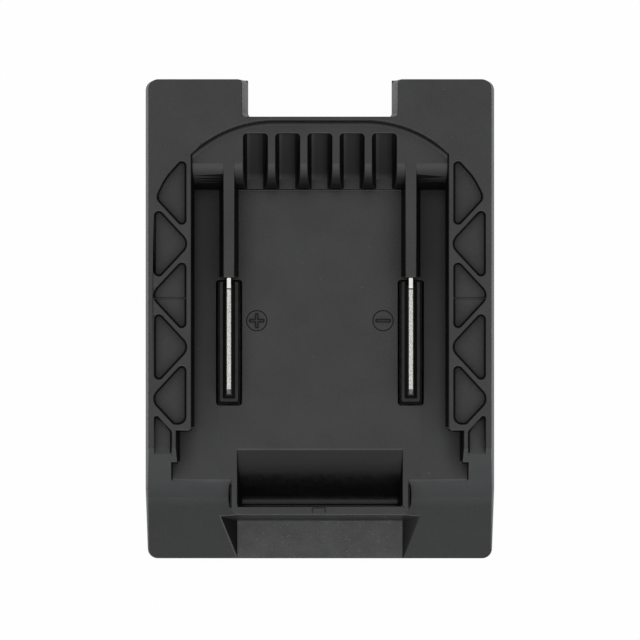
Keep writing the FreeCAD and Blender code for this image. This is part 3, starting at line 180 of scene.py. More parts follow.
def edit(thing, mode="FACE"):
    """Opens one object in edit mode with nothing selected."""
    pick(thing)
    bpy.ops.object.mode_set(mode="EDIT")
    bpy.ops.mesh.select_mode(type=mode)
    bpy.ops.mesh.select_all(action="DESELECT")


def close():
    bpy.ops.object.mode_set(mode="OBJECT")


def select_where(thing, kind, wanted):
    """Selects the faces, edges or vertices of the open object that the test picks."""
    mesh = bmesh.from_edit_mesh(thing.data)
    for item in getattr(mesh, kind):
        item.select_set(bool(wanted(item)))
    mesh.select_flush_mode()
    bmesh.update_edit_mesh(thing.data)


def shift_where(piece, wanted, move):
    """Moves the corners whose place passes the test, with both the place and the move in mm."""
    edit(piece, "VERT")
    select_where(piece, "verts", lambda vertex: wanted(vertex.co / MM))
    bpy.ops.transform.translate(value=[distance * MM for distance in move])
    close()


def split_where(piece, wanted, *places):
    """Cuts the faces that the test picks along planes across X at these places, in mm."""
    edit(piece)
    for place in places:
        select_where(piece, "faces", wanted)
        bpy.ops.mesh.bisect(plane_co=(place * MM, 0, 0), plane_no=(1, 0, 0))
    close()


def round_where(piece, width, wanted, material, segments=2, convex=False, rise=ANY_RISE):
    """Rounds inner or outer edges, with a finish of their own.

    The places of both ends, in mm, pass the test, and rise is the range in which their heights differ.
    """
    def picked(edge):
        ends = [vertex.co / MM for vertex in edge.verts]
        return (
            edge.is_convex == convex and edge.calc_face_angle(0) > INNER_ANGLE
            and rise[0] <= abs(ends[0].z - ends[1].z) < rise[1] and all(wanted(spot) for spot in ends)
        )

    edit(piece, "EDGE")
    select_where(piece, "edges", picked)
    bpy.ops.mesh.bevel(
        offset=width, segments=segments, affect="EDGES", loop_slide=True, clamp_overlap=False,
        material=material,
    )
    close()


def add_modifier(thing, kind, **settings):
    """Adds a modifier and applies it."""
    modifier = thing.modifiers.new(kind.title(), kind)
    for name, value in settings.items():
        setattr(modifier, name, value)
    pick(thing)
    bpy.ops.object.modifier_apply(modifier=modifier.name)


def settle(thing):
    """Puts the object's place into its mesh, so that the object itself sits at the origin."""
    pick(thing)
    bpy.ops.object.transform_apply(location=True, rotation=True, scale=True)


def smooth(thing):
    """Smooth shading that keeps broad faces flat."""
    pick(thing)
    bpy.ops.object.shade_smooth_by_angle(angle=SMOOTH_ANGLE)
    add_modifier(thing, "WEIGHTED_NORMAL", keep_sharp=True, weight=100)


def dress(thing, *materials):
    """Puts the materials into the object's slots and keeps which face uses which."""
    while len(thing.data.materials) < len(materials):
        thing.data.materials.append(None)
    for index, material in enumerate(materials):
        thing.data.materials[index] = material


def new_object(name, data):
    thing = bpy.data.objects.new(name, data)
    bpy.context.scene.collection.objects.link(thing)
    return thing


def carve(piece, cutter):
    """Takes the cutter's shape out of the piece."""
    add_modifier(piece, "BOOLEAN", operation="DIFFERENCE", solver="EXACT", object=cutter)
    bpy.data.objects.remove(cutter)


def rod(radius, start, end, sides=24):
    """A round bar between two points, used as a cutter."""
    start, end = Vector(start), Vector(end)
    deselect()
    bpy.ops.mesh.primitive_cylinder_add(
        vertices=sides, radius=radius, depth=(end - start).length, location=(start + end) / 2,
    )
    bar = bpy.context.object
    bar.rotation_euler = (end - start).to_track_quat("Z", "Y").to_euler()
    settle(bar)
    return bar


# Finished copies of the frame's nodes

def merged_copy(node):
    """A copy of a node as one closed mesh with broad flat faces."""
    piece = new_object(f"{node}_finish", frame["nodes"][node].data.copy())
    piece.data.materials.clear()
    edit(piece)
    bpy.ops.mesh.customdata_custom_splitnormals_clear()
    bpy.ops.mesh.select_all(action="SELECT")
    bpy.ops.mesh.remove_doubles(threshold=MERGE_DISTANCE)
    bpy.ops.mesh.dissolve_limited(angle_limit=FLAT_ANGLE)
    close()
    return piece


def round_open_edges(piece, radius, looks, segments=3, material=-1):
    """Rounds the sharp edges that can be seen from these directions, maybe with a finish of their own."""
    mesh = bmesh.new()
    mesh.from_mesh(piece.data)
    tree = BVHTree.FromBMesh(mesh)
    weight = mesh.edges.layers.float.new("bevel_weight_edge")
    for edge in mesh.edges:
        if not edge.is_convex or edge.calc_face_angle(0) < SHARP_ANGLE:
            continue
        middle = (edge.verts[0].co + edge.verts[1].co) / 2
        outward = (edge.link_faces[0].normal + edge.link_faces[1].normal).normalized()
        start = middle + outward * 0.05 * MM
        if any(tree.ray_cast(start, look)[0] is None for look in looks):
            edge[weight] = 1
    mesh.to_mesh(piece.data)
    mesh.free()
    add_modifier(
        piece, "BEVEL", width=radius, segments=segments, limit_method="WEIGHT", use_clamp_overlap=False,
        loop_slide=True, material=material,
    )


def finish_node(node, radius, looks, slot, *materials):
    """Rounds a copy of a node, gives it its finish and lets it stand for the node."""
    piece = merged_copy(node)
    round_open_edges(piece, radius, looks)
    smooth(piece)
    dress(piece, *materials)
    hand_over(piece, node)


def hand_over(piece, node):
    """Lets the piece move with the node's body and stand for the node."""
    bodies = frame["record"]["behaviour"]["bodies"]
    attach(piece, next(body for body, nodes in bodies.items() if node in nodes))
    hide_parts(node)


# Finding faces of the battery side

def corners_of(piece, face):
    """Lowest and highest corner of a face, in mm."""
    spots = [piece.data.vertices[index].co for index in face.vertices]
    low = [min(spot[axis] for spot in spots) / MM for axis in range(3)]
    high = [max(spot[axis] for spot in spots) / MM for axis in range(3)]
    return low, high


def within(low, high, zone):
    return all(zone[0][axis] <= low[axis] and high[axis] <= zone[1][axis] for axis in range(3))


def near(value, target, slack=0.05):
    return abs(value - target) < slack


def channel_floor(piece):
    """Height of the broad level face that the battery slides over, in metres."""
    faces = piece.data.polygons
    level = [face for face in faces if face.normal.z > LEVEL and near(face.center.z / MM, FLOOR, 1)]
    return max(level, key=lambda face: face.area).center.z


def across_cell(x):
    """Distance from the middle of the nearest cell, in mm."""
    return (x + CELL_PITCH / 2) % CELL_PITCH - CELL_PITCH / 2


def assign_finishes(piece):
    """Gives each face of the battery side its own finish, with painted shade on walls and corners that lie in
    shade and painted light and shade on the slope and the scoop's sides.
    """
    floor = channel_floor(piece) / MM
    for face in piece.data.polygons:
        low, high = corners_of(piece, face)
        middle = face.center / MM
        normal = face.normal
        if within(low, high, SCOOP_ZONE):
            face.material_index = PAD if normal.z > 0.8 else SCOOP if abs(normal.x) > 0.3 else POLISHED
        elif low[2] > floor - 0.3 and abs(normal.z) < 0.35:
            on_arch_wall = low[2] > POCKET_FLOOR - 0.1 and middle.y > 35 and abs(middle.x) < ARCH_SIDE
            face.material_index = GRAINED if on_arch_wall else PAINTED_SHADE
        elif normal.z > -0.1 and within(low, high, CATCH_ZONE):
            face.material_index = PAINTED_SHADE if abs(normal.x) > 0.9 else POLISHED
        elif within(low, high, CELL_ZONE) and -0.1 < normal.z < 0.9999:
            on_bar = abs(across_cell(middle.x)) > CELL_REACH and abs(normal.x) < 0.2
            face.material_index = END if on_bar else POLISHED if normal.z < LEVEL else GRAINED
        elif 0.04 < normal.z < 0.9999 and high[2] > FLOOR + 0.2 and within(low, high, END_ZONE):
            outer = abs(low[0] + high[0]) / 2 > STRIP_EDGE - 1
            face.material_index = PAINTED_SHADE if outer and (normal.z < 0.7 or high[2] < LIP_UNDERSIDE) else END
        elif normal.z > LEVEL and near(middle.z, POCKET_FLOOR, 0.02) and abs(middle.x) > RAIL_SIDE + 0.1:
            face.material_index = POCKET
        elif normal.y < -0.5 and 0.5 < normal.z < 0.72 and within(low, high, FRONT_ZONE):
            face.material_index = SLOPE


def assign_edge_highlights(piece):
    """Keeps the painted highlight on rounded edges that face the front, and gives the others a housing
    finish.
    """
    for face in piece.data.polygons:
        if face.material_index != EDGE_HIGHLIGHT:
            continue
        low, high = corners_of(piece, face)
        if within(low, high, CELL_ZONE) or (within(low, high, END_ZONE) and low[2] < POCKET_FLOOR - 0.1):
            face.material_index = POLISHED
        elif high[1] < -43.75 and low[0] > 18:
            face.material_index = SCOOP
        elif face.normal.y > -0.2 or face.normal.z < 0.2:
            face.material_index = GRAINED


# Materials

def new_material(name, colour, roughness, metallic=0.0, specular=0.5):
    material = bpy.data.materials.new(name)
    material.use_nodes = True
    shader = material.node_tree.nodes["Principled BSDF"]
    shader.inputs["Base Color"].default_value = (*colour, 1)
    shader.inputs["Roughness"].default_value = roughness
    shader.inputs["Metallic"].default_value = metallic
    shader.inputs["Specular IOR Level"].default_value = specular
    return material, shader


def add_node(material, kind, **values):
    node = material.node_tree.nodes.new(f"ShaderNode{kind}")
    for name, value in values.items():
        if name in node.inputs:
            node.inputs[name].default_value = value
        else:
            setattr(node, name, value)
    return node


def link(material, source, target):
    material.node_tree.links.new(source, target)


def plug(material, value, socket):
    """Links an output to a socket, or sets the socket to a plain number or colour."""
    if isinstance(value, bpy.types.NodeSocket):
        link(material, value, socket)
    else:
        socket.default_value = (*value, 1) if isinstance(value, tuple) else value


def calculated(material, operation, *values):
    """A number worked out from outputs and plain numbers."""
    node = add_node(material, "Math", operation=operation)
    for value, socket in zip(values, node.inputs):
        plug(material, value, socket)
    return node.outputs["Value"]


def object_noise(material, grain, detail=2.0, stretch=(1, 1, 1)):
    """Noise whose grain is given as a real size on the object."""
    place = add_node(material, "TexCoord")
    turn = add_node(material, "Mapping")
    turn.inputs["Scale"].default_value = stretch
    noise = add_node(material, "TexNoise", Scale=1 / grain, Detail=detail)
    link(material, place.outputs["Object"], turn.inputs["Vector"])
    link(material, turn.outputs["Vector"], noise.inputs["Vector"])
    return noise


def spread(material, value, low, high, first, second):
    """A number that goes from first to second as the value goes from low to high."""
    node = add_node(material, "MapRange")
    for name, number in (("From Min", low), ("From Max", high), ("To Min", first), ("To Max", second)):
        node.inputs[name].default_value = number
    link(material, value, node.inputs["Value"])
    return node.outputs["Result"]


def colours_along(material, factor, *stops):
    """A colour that runs through the stops, each a place and a colour."""
    ramp = add_node(material, "ValToRGB")
    elements = ramp.color_ramp.elements
    while len(elements) < len(stops):
        elements.new(0.5)
    for element, (place, colour) in zip(elements, stops):
        element.position = place
        element.color = (*colour, 1)
    link(material, factor, ramp.inputs["Fac"])
    return ramp.outputs["Color"]


def mixed(material, factor, first, second, blend="MIX"):
    """Mixes two colours, each an output or plain numbers."""
    node = add_node(material, "Mix", data_type="RGBA", blend_type=blend)
    for value, index in ((factor, 0), (first, 6), (second, 7)):
        plug(material, value, node.inputs[index])
    return node.outputs[2]


def vary_roughness(material, shader, grain, low, high):
    noise = object_noise(material, grain)
    link(material, spread(material, noise.outputs["Fac"], 0.3, 0.7, low, high), shader.inputs["Roughness"])


def add_bump(material, shader, height, depth):
    bump = add_node(material, "Bump", Strength=1.0, Distance=depth)
    link(material, height, bump.inputs["Height"])
    link(material, bump.outputs["Normal"], shader.inputs["Normal"])


def add_grain(material, shader, grain, depth, stretch=(1, 1, 1)):
    """A fine relief on the surface, given by the size and the depth of its grain."""
    add_bump(material, shader, object_noise(material, grain, stretch=stretch).outputs["Fac"], depth)


def scaled(colour, factor):
    return tuple(value * factor for value in colour)


def cloudy_tone(material, colour, cloud, depth):
    """A colour with a faint, soft unevenness."""
    noise = object_noise(material, cloud)
    darker = scaled(colour, 1 - depth)
    lighter = scaled(colour, 1 + depth)
    return colours_along(material, noise.outputs["Fac"], (0.35, darker), (0.65, lighter))


def dusted(material, tone, spacing, size, dust):
    """Adds a few specks of dust to a tone."""
    place = add_node(material, "TexCoord")
    cells = add_node(material, "TexVoronoi", Scale=1 / spacing)
    link(material, place.outputs["Object"], cells.inputs["Vector"])
    edge = size / spacing
    speck = spread(material, cells.outputs["Distance"], edge * 0.6, edge, 1.0, 0.0)
    return mixed(material, speck, tone, dust)


def painted_corner_shade(material, tone, reach, steepness):
    """Paints shade into a tone towards the foot of walls and in narrow places, by how much open sky each
    point sees.
    """
    open_sky = add_node(material, "AmbientOcclusion", samples=8, Distance=reach)
    shade = calculated(material, "POWER", open_sky.outputs["AO"], steepness)
    return mixed(material, 1.0, tone, shade, "MULTIPLY")


def object_axis(material, axis):
    """The place along one axis of the object, in metres."""
    place = add_node(material, "TexCoord")
    split = add_node(material, "SeparateXYZ")
    link(material, place.outputs["Object"], split.inputs["Vector"])
    return split.outputs[axis]


def shades(colour, *tones):
    """Stops made of places in mm and shares of one colour."""
    return [(place * MM, scaled(colour, share)) for place, share in tones]


def tone_along(material, place, stops):
    """A tone that runs through the stops, each a place in metres and a colour."""
    first, last = stops[0][0], stops[-1][0]
    along = spread(material, place, first, last, 0.0, 1.0)
    shares = [((spot - first) / (last - first), colour) for spot, colour in stops]
    return colours_along(material, along, *shares)


def add_grained_surface(material, shader, tone, dust, roughness, grain, depth):
    """Gives a plastic its tone with a few specks of dust, an uneven gloss and its grain."""
    spacing, size, paleness = dust
    tone = dusted(material, tone, spacing * MM, size * MM, scaled(WHITE, paleness))
    link(material, tone, shader.inputs["Base Color"])
    vary_roughness(material, shader, grain * 3, roughness - 0.04, roughness + 0.06)
    add_grain(material, shader, grain, depth)


def add_smooth_surface(material, shader, tone, roughness):
    """The same where the mould is smooth."""
    tone = dusted(material, tone, 5 * MM, 0.1 * MM, scaled(WHITE, 0.15))
    link(material, tone, shader.inputs["Base Color"])
    vary_roughness(material, shader, 1.5 * MM, roughness - 0.05, roughness + 0.07)
    add_grain(material, shader, 1.2 * MM, 0.004 * MM)


def make_moulded_plastic(name, colour, roughness, grain, depth):
    """Black moulded plastic with an eroded grain, a slightly cloudy tone and painted shade towards the foot
    of walls and in narrow places.
    """
    material, shader = new_material(name, colour, roughness)
    tone = painted_corner_shade(material, cloudy_tone(material, colour, 9 * MM, 0.1), 5 * MM, 2.0)
    add_grained_surface(material, shader, tone, (2.6, 0.11, 0.13), roughness, grain, depth)
    return material


def make_polished_plastic(name, colour, roughness, specular=0.5):
    """The same plastic where the mould is smooth: deeper black, with a soft gloss."""
    material, shader = new_material(name, colour, roughness, specular=specular)
    shader.inputs["IOR"].default_value = 1.57
    add_smooth_surface(material, shader, cloudy_tone(material, colour, 5 * MM, 0.12), roughness)
    return material


def make_graded_plastic(name, axis, stops, roughness, grain, depth, specular=0.5, corners=0.0):
    """Grained plastic with light and shade painted into its tone along one axis of the part, and maybe
    painted shade in corners.
    """
    material, shader = new_material(name, stops[0][1], roughness, specular=specular)
    tone = tone_along(material, object_axis(material, axis), stops)
    tone = mixed(material, 1.0, tone, cloudy_tone(material, WHITE, 7 * MM, 0.06), "MULTIPLY")
    if corners > 0:
        tone = painted_corner_shade(material, tone, 5 * MM, corners)
    add_grained_surface(material, shader, tone, (4, 0.12, 0.2), roughness, grain, depth)
    return material


def make_cell_plastic(name, stops, roughness, specular):
    """Smooth plastic of the dished cells, with light and shade painted across each cell: a painted highlight
    near its left side and painted shade towards its right.
    """
    material, shader = new_material(name, stops[0][1], roughness, specular=specular)
    half = CELL_PITCH * MM / 2
    across = calculated(material, "WRAP", object_axis(material, "X"), half, -half)
    add_smooth_surface(material, shader, tone_along(material, across, stops), roughness)
    return material


def make_pad_plastic(name, colour, roughness, grain, depth):
    """The coarse grain of the thumb pad, its tone following the grain's relief: lighter on the tips and
    darker in the hollows, as painted light and shade.
    """
    material, shader = new_material(name, colour, roughness)
    pattern = object_noise(material, grain, detail=1.0)
    tone = colours_along(
        material, pattern.outputs["Fac"],
        (0.3, scaled(colour, 0.86)), (0.5, colour), (0.7, scaled(colour, 1.2)),
    )
    tone = mixed(material, 1.0, tone, cloudy_tone(material, WHITE, 4 * MM, 0.1), "MULTIPLY")
    tone = dusted(material, tone, 1.0 * MM, 0.13 * MM, scaled(colour, 3))
    link(material, tone, shader.inputs["Base Color"])
    vary_roughness(material, shader, grain * 2, roughness - 0.06, roughness + 0.08)
    add_bump(material, shader, pattern.outputs["Fac"], depth)
    return material


def make_metal(name, colour, low, high, grain, depth, stretch=(1, 1, 1)):
    """Metal with fine marks, which may run one way."""
    material, shader = new_material(name, colour, low, metallic=1.0)
    noise = object_noise(material, grain * 5, stretch=stretch)
    tone = colours_along(material, noise.outputs["Fac"], (0.35, scaled(colour, 0.88)), (0.65, colour))
    link(material, tone, shader.inputs["Base Color"])
    vary_roughness(material, shader, grain * 4, low, high)
    add_grain(material, shader, grain, depth, stretch=stretch)
    return material


def make_sheared_metal(name, colour, low, high, grain, depth):
    """The torn, grainy edge of a blade that was cut from strip."""
    material, shader = new_material(name, colour, low, metallic=1.0)
    torn = object_noise(material, grain, detail=1.0, stretch=(1, 0.8, 1))
    tone = colours_along(
        material, torn.outputs["Fac"],
        (0.36, scaled(colour, 0.3)), (0.46, scaled(colour, 0.8)), (0.6, colour),
    )
    link(material, tone, shader.inputs["Base Color"])
    vary_roughness(material, shader, grain * 2, low, high)
    add_grain(material, shader, grain, depth)
    return material


def make_insulation(name, colour):
    """Soft insulation with a faint sheen and small scuffs."""
    material, shader = new_material(name, colour, 0.45)
    tone = cloudy_tone(material, colour, 3 * MM, 0.15)
    link(material, tone, shader.inputs["Base Color"])
    vary_roughness(material, shader, 1.0 * MM, 0.38, 0.55)
    add_grain(material, shader, 0.25 * MM, 0.006 * MM)
    return material


# Settings

def length_field(name, description, default):
    return bpy.props.FloatProperty(name=name, description=description, default=default, unit="LENGTH")


def share_field(name, description, default):
    return bpy.props.FloatProperty(
        name=name, description=description, default=default, min=0, max=1, subtype="FACTOR",
    )


def colour_field(name, description, default):
    return bpy.props.FloatVectorProperty(
        name=name, description=description, default=default, size=3, subtype="COLOR",
    )


class HousingSettings(bpy.types.PropertyGroup):
    """Sizes and finish of the two moulded housings."""

    edge_radius: length_field("Edge radius", "Rounding of the housings' edges", 0.22 * MM)
    # The foot fillets are painted with shade
    foot_width: length_field("Foot fillet", "Width of the fillet at the foot of the pockets' walls", 0.4 * MM)
    pocket_extra: length_field("Pocket depth", "How much deeper the rails' pockets are cut", 0.7 * MM)
    trench_radius: length_field("Rim trench", "Half the width of the trench beside the rim", 0.42 * MM)
    colour: colour_field("Plastic", "Colour of the grained plastic", (0.0352, 0.0357, 0.0367))
    smooth_colour: colour_field("Smooth plastic", "Colour of the smooth plastic", (0.005, 0.005, 0.0052))
    # Near-black plastic with almost no gloss, painted as shade on walls, bands and fillets that lie in shade
    shade_colour: colour_field("Painted shade", "Colour of the walls in the pockets", (0.0055, 0.0055, 0.0058))
    # A lighter plastic painted on rounded edges that face the front, as a highlight
    highlight_colour: colour_field("Edge highlight", "Colour of edges painted with a highlight at the front", (0.07, 0.0705, 0.072))
    # Painted light and shade on the slope: the lighter colour at its top and the darker at its foot
    slope_top: colour_field("Slope, top", "Colour at the top of the slope", (0.057, 0.0615, 0.0635))
    slope_foot: colour_field("Slope, foot", "Colour at the foot of the slope", (0.0172, 0.0184, 0.0196))
    pad_colour: colour_field("Thumb pad", "Colour of the grained pad in the scoop", (0.082, 0.0827, 0.085))
    roughness: share_field("Roughness", "How dull the grained plastic is", 0.55)
    smooth_roughness: share_field("Smooth roughness", "How dull the smooth plastic is", 0.33)
    grain: length_field("Grain", "Size of the moulded grain", 0.16 * MM)
    pad_grain: length_field("Pad grain", "Size of the pad's coarser grain", 0.3 * MM)


class SignSettings(bpy.types.PropertyGroup):
    """Sizes of the engraved plus and minus signs and of the mould's marks."""

    ring_radius: length_field("Ring radius", "Radius of the ring round a sign", 2.26 * MM)
    reach: length_field("Reach", "Half the length of a stroke", 1.58 * MM)
    stroke: length_field("Stroke", "Width of a stroke", 0.55 * MM)
    line: length_field("Line", "Width of the engraved line", 0.24 * MM)
    depth: length_field("Depth", "Depth of the engraved line", 0.3 * MM)
    offset: length_field("Offset", "Distance of each sign from the middle", 14.11 * MM)
    seam_y: length_field("Pocket seam", "Place of the mould's seam across a pocket of each rail", 4.72 * MM)
    seam_depth: length_field("Seam depth", "Depth of the mould's seam", 0.12 * MM)


class ContactSettings(bpy.types.PropertyGroup):
    """Finish of the blades, clips and leads."""

    blade_colour: colour_field("Blade plating", "Colour of the nickel plating", (0.74, 0.73, 0.705))
    clip_colour: colour_field("Clip", "Colour of the clips' strip", (0.8, 0.6, 0.35))
    holder_colour: colour_field("Holder", "Colour of the holders and the carrier", (0.010, 0.010, 0.0102))
    positive_colour: colour_field("Positive lead", "Colour of the positive lead", (0.55, 0.03, 0.03))
    negative_colour: colour_field("Negative lead", "Colour of the negative lead", (0.03, 0.03, 0.03))
    edge_radius: length_field("Edge radius", "Rounding of the sheared edges", 0.08 * MM)
    score_y: length_field("Score line", "Place of the fine line across each blade", 6.8 * MM)
    score_depth: length_field("Score depth", "Depth of the fine line across each blade", 0.2 * MM)
    bare_length: length_field("Bare ends", "Length of the tinned end of each lead", 2.2 * MM)


class LatchSettings(bpy.types.PropertyGroup):
    """Finish of the release latch and its springs."""

    colour: colour_field("Latch", "Colour of the latch", (0.035, 0.035, 0.036))
    edge_radius: length_field("Edge radius", "Rounding of the latch's edges", 0.3 * MM)
    grip_grooves: bpy.props.IntProperty(
        name="Grip grooves", description="Number of grooves across the press pad", default=3, min=0,
    )
    groove_radius: length_field("Groove radius", "Radius of a grip groove", 0.35 * MM)


class ScrewSettings(bpy.types.PropertyGroup):
    """Shape and finish of the screws."""

    colour: colour_field("Zinc", "Colour of the zinc plating", (0.5, 0.5, 0.52))
    head_rounding: share_field("Head rounding", "Share of the head's height that is rounded", 0.6)
    recess_share: share_field("Recess", "Reach of the cross recess against the head's radius", 0.62)


class StageSettings(bpy.types.PropertyGroup):
    """Camera, lights and floor."""

    distance: length_field("Camera height", "Height of the camera over the floor", 6.0)
    width: length_field("View width", "Width that the camera sees at the adapter", 143.2 * MM)
    centre: bpy.props.FloatVectorProperty(
        name="View centre", description="Point that the camera looks at", size=3, subtype="TRANSLATION",
        default=(0.02 * MM, -0.145 * MM, 30 * MM),
    )
    sky: bpy.props.FloatProperty(
        name="Sky", description="Strength of the light from straight above", default=1.2, min=0,
    )
    horizon: share_field("Horizon", "Share of the sky's light that comes from the horizon", 0.13)
    floor_colour: colour_field("Floor", "Colour of the floor", (0.94, 0.94, 0.94))
    floor_share: share_field("Shadow", "Share of the floor's own shading that shows", 0.02)


# Operators

class ADAPTER_OT_battery_side(bpy.types.Operator):
    """Finish the battery-side housing with its pad and its engraved signs"""

    bl_idname = "adapter.battery_side"
    bl_label = "Finish Battery Side"

    def execute(self, context):
        housing = context.scene.adapter_housing
        signs = context.scene.adapter_signs
        piece = merged_copy("battery_side_shell")
        dress(piece, *make_housing_plastics(housing))
        assign_finishes(piece)
        shape_catch_pocket(piece)
        shape_scoop(piece)
        shape_cells(piece)
        shape_first_pockets(piece)
        shape_rail_ends(piece)
        shape_channel(piece)
        deepen_pockets(piece, housing.pocket_extra)
        # The fillets at the foot of the rails' pockets' walls are painted with shade
        round_where(
            piece, housing.foot_width,
            lambda spot: 42 < spot.z < POCKET_FLOOR + 0.02 and abs(spot.x) > RAIL_SIDE, PAINTED_SHADE, rise=(0, 0.02),
        )
        round_where(piece, 1.0 * MM, lambda spot: on_arch(spot, POCKET_FLOOR), POLISHED, 4)
        # The arch's top edge and the open edges are rounded with the painted edge highlight
        round_where(piece, 0.45 * MM, lambda spot: on_arch(spot, DECK), EDGE_HIGHLIGHT, 3, convex=True)
        round_open_edges(piece, housing.edge_radius, (UP, *SIDES), material=EDGE_HIGHLIGHT)
        level_deck(piece)
        assign_edge_highlights(piece)
        cut_rim_trenches(piece, housing.trench_radius)
        engrave_signs(piece, signs)
        cut_mould_marks(piece, signs, POCKET_FLOOR * MM - housing.pocket_extra)
        smooth(piece)
        hand_over(piece, "battery_side_shell")
        return {"FINISHED"}


class ADAPTER_OT_tool_side(bpy.types.Operator):
    """Finish the tool-side housing"""

    bl_idname = "adapter.tool_side"
    bl_label = "Finish Tool Side"

    def execute(self, context):
        housing = context.scene.adapter_housing
        plastic = bpy.data.materials["housing plastic"]
        finish_node("tool_side_shell", housing.edge_radius, (DOWN, *SIDES), "housing_plastic", plastic)
        return {"FINISHED"}


class ADAPTER_OT_contacts(bpy.types.Operator):
    """Finish the blades, their holders, the clips, their carrier and the leads"""

    bl_idname = "adapter.contacts"
    bl_label = "Finish Contacts"

    def execute(self, context):
        contacts = context.scene.adapter_contacts
        colour = tuple(contacts.blade_colour)
        plating = make_metal("blade plating", colour, 0.22, 0.34, 0.2 * MM, 0.004 * MM)
        sheared = make_sheared_metal("sheared edge", colour, 0.3, 0.5, 0.13 * MM, 0.04 * MM)
        clip_colour = tuple(contacts.clip_colour)
        strip = make_metal("clip strip", clip_colour, 0.2, 0.3, 0.15 * MM, 0.003 * MM, (1, 0.1, 1))
        holder = make_polished_plastic("holder plastic", tuple(contacts.holder_colour), 0.36, 0.28)
        tin = make_metal("tinned strands", (0.7, 0.69, 0.67), 0.25, 0.4, 0.2 * MM, 0.03 * MM, (1, 1, 0.3))
        for name, lead in (("positive", contacts.positive_colour), ("negative", contacts.negative_colour)):
            finish_blade(f"{name}_blade", contacts, plating, sheared)
            finish_node(f"{name}_blade_holder", 0.2 * MM, ALL_ROUND, "holder_plastic", holder)
            finish_node(f"{name}_clip", contacts.edge_radius, ALL_ROUND, "clip_metal", strip)
            finish_lead(f"{name}_wire", contacts, make_insulation(f"{name} insulation", tuple(lead)), tin)
        finish_node("contact_carrier", 0.2 * MM, ALL_ROUND, "holder_plastic", holder)
        return {"FINISHED"}


class ADAPTER_OT_latch(bpy.types.Operator):
    """Finish the release latch, its retainer and its springs"""

    bl_idname = "adapter.latch"
    bl_label = "Finish Latch"

    def execute(self, context):
        latch = context.scene.adapter_latch
        plastic = make_moulded_plastic("latch plastic", tuple(latch.colour), 0.5, 0.2 * MM, 0.01 * MM)
        piece = merged_copy("release_latch")
        round_open_edges(piece, latch.edge_radius, ALL_ROUND)
        cut_grip_grooves(piece, latch)
        smooth(piece)
        dress(piece, plastic)
        hand_over(piece, "release_latch")
        holder = bpy.data.materials["holder plastic"]
        finish_node("latch_retainer", 0.2 * MM, ALL_ROUND, "holder_plastic", holder)
        wire = make_metal("spring wire", (0.6, 0.6, 0.62), 0.2, 0.3, 0.1 * MM, 0.002 * MM)
        for name in ("left_latch_spring", "right_latch_spring"):
            finish_spring(name, wire)
        return {"FINISHED"}


class ADAPTER_OT_screws(bpy.types.Operator):
    """Make the pan-head screws with their cross recesses"""

    bl_idname = "adapter.screws"
    bl_label = "Make Screws"

    def execute(self, context):
        screws = context.scene.adapter_screws
        zinc = make_metal("zinc plating", tuple(screws.colour), 0.28, 0.42, 0.12 * MM, 0.003 * MM)
        small_rows = (("blade_holder_screws", False), ("carrier_screws", True), ("retainer_screws", True))
        for size, rows in ((LARGE_SCREW, (("housing_screws", False),)), (SMALL_SCREW, small_rows)):
            master = model_screw(screws, size)
            for node, head_up in rows:
                place_screws(node, master, size[0] * MM, head_up, zinc)
            bpy.data.objects.remove(master)
        return {"FINISHED"}


class ADAPTER_OT_stage(bpy.types.Operator):
    """Set the floor, the lights and the camera"""

    bl_idname = "adapter.stage"
    bl_label = "Set Stage"

    def execute(self, context):
        stage = context.scene.adapter_stage
        make_floor(stage)
        make_sky(context, stage)
        make_camera(context, stage)
        context.scene.view_settings.view_transform = "Standard"
        return {"FINISHED"}


# Battery side

def make_housing_plastics(housing):
    """The finishes of the battery side, in the order of its slots."""
    colour = tuple(housing.colour)
    shade_colour = tuple(housing.shade_colour)
    slope_top = tuple(housing.slope_top)
    slope_foot = tuple(housing.slope_foot)
    rough, grain = housing.roughness, housing.grain
    # Painted light and shade along the slope: lighter at its top, darker towards its foot
    slope_stops = shades(slope_top, (-29, 1), (FLOOR_FRONT, 1), (-39.5, 0.7))
    slope_stops += shades(slope_foot, (-41.8, 1), (-53, 1))
    # The scoop's sides: painted shade on the left, lighter towards the right as painted light
    scoop_stops = shades(shade_colour, (-22.7, 1), (18.5, 2.6), (22.5, 8))
    strip_stops = shades(colour, *STRIP_TONES)
    return (
        make_moulded_plastic("housing plastic", colour, rough, grain, 0.012 * MM),
        make_polished_plastic("smooth plastic", tuple(housing.smooth_colour), housing.smooth_roughness),
        # Painted shade: near-black plastic with almost no gloss for walls and bands in shade
        make_polished_plastic("deep wall", shade_colour, 0.5, 0.06),
        # Rounded edges that face the front: a lighter plastic as a painted highlight
        make_moulded_plastic("worn edge", tuple(housing.highlight_colour), 0.5, grain, 0.006 * MM),
        make_graded_plastic("slope plastic", "Y", slope_stops, rough, grain, 0.012 * MM),
        make_pad_plastic("thumb pad", tuple(housing.pad_colour), rough, housing.pad_grain, 0.05 * MM),
        make_graded_plastic("scoop side", "X", scoop_stops, 0.5, grain, 0.008 * MM, 0.07),
        # The floor's outer strips: painted shade along Y and painted shade in corners
        make_graded_plastic("strip floor", "Y", strip_stops, rough, grain, 0.012 * MM, 0.35, 2.0),
        # The rails' pocket floors: a lighter copy of the housing plastic, as painted light
        make_moulded_plastic("pocket floor", scaled(colour, 1.2), rough, grain, 0.012 * MM),
        # The cells' floors: painted highlight and painted shade across each cell
        make_cell_plastic("cell floor", shades(COOL_WHITE, *CELL_TONES), 0.4, 0.33),
        # The rounding at the channel's end: painted lighter at its top and darker as it turns down
        make_graded_plastic("end rounding", "Z", shades(COOL_WHITE, *END_TONES), 0.36, grain, 0.004 * MM),
    )


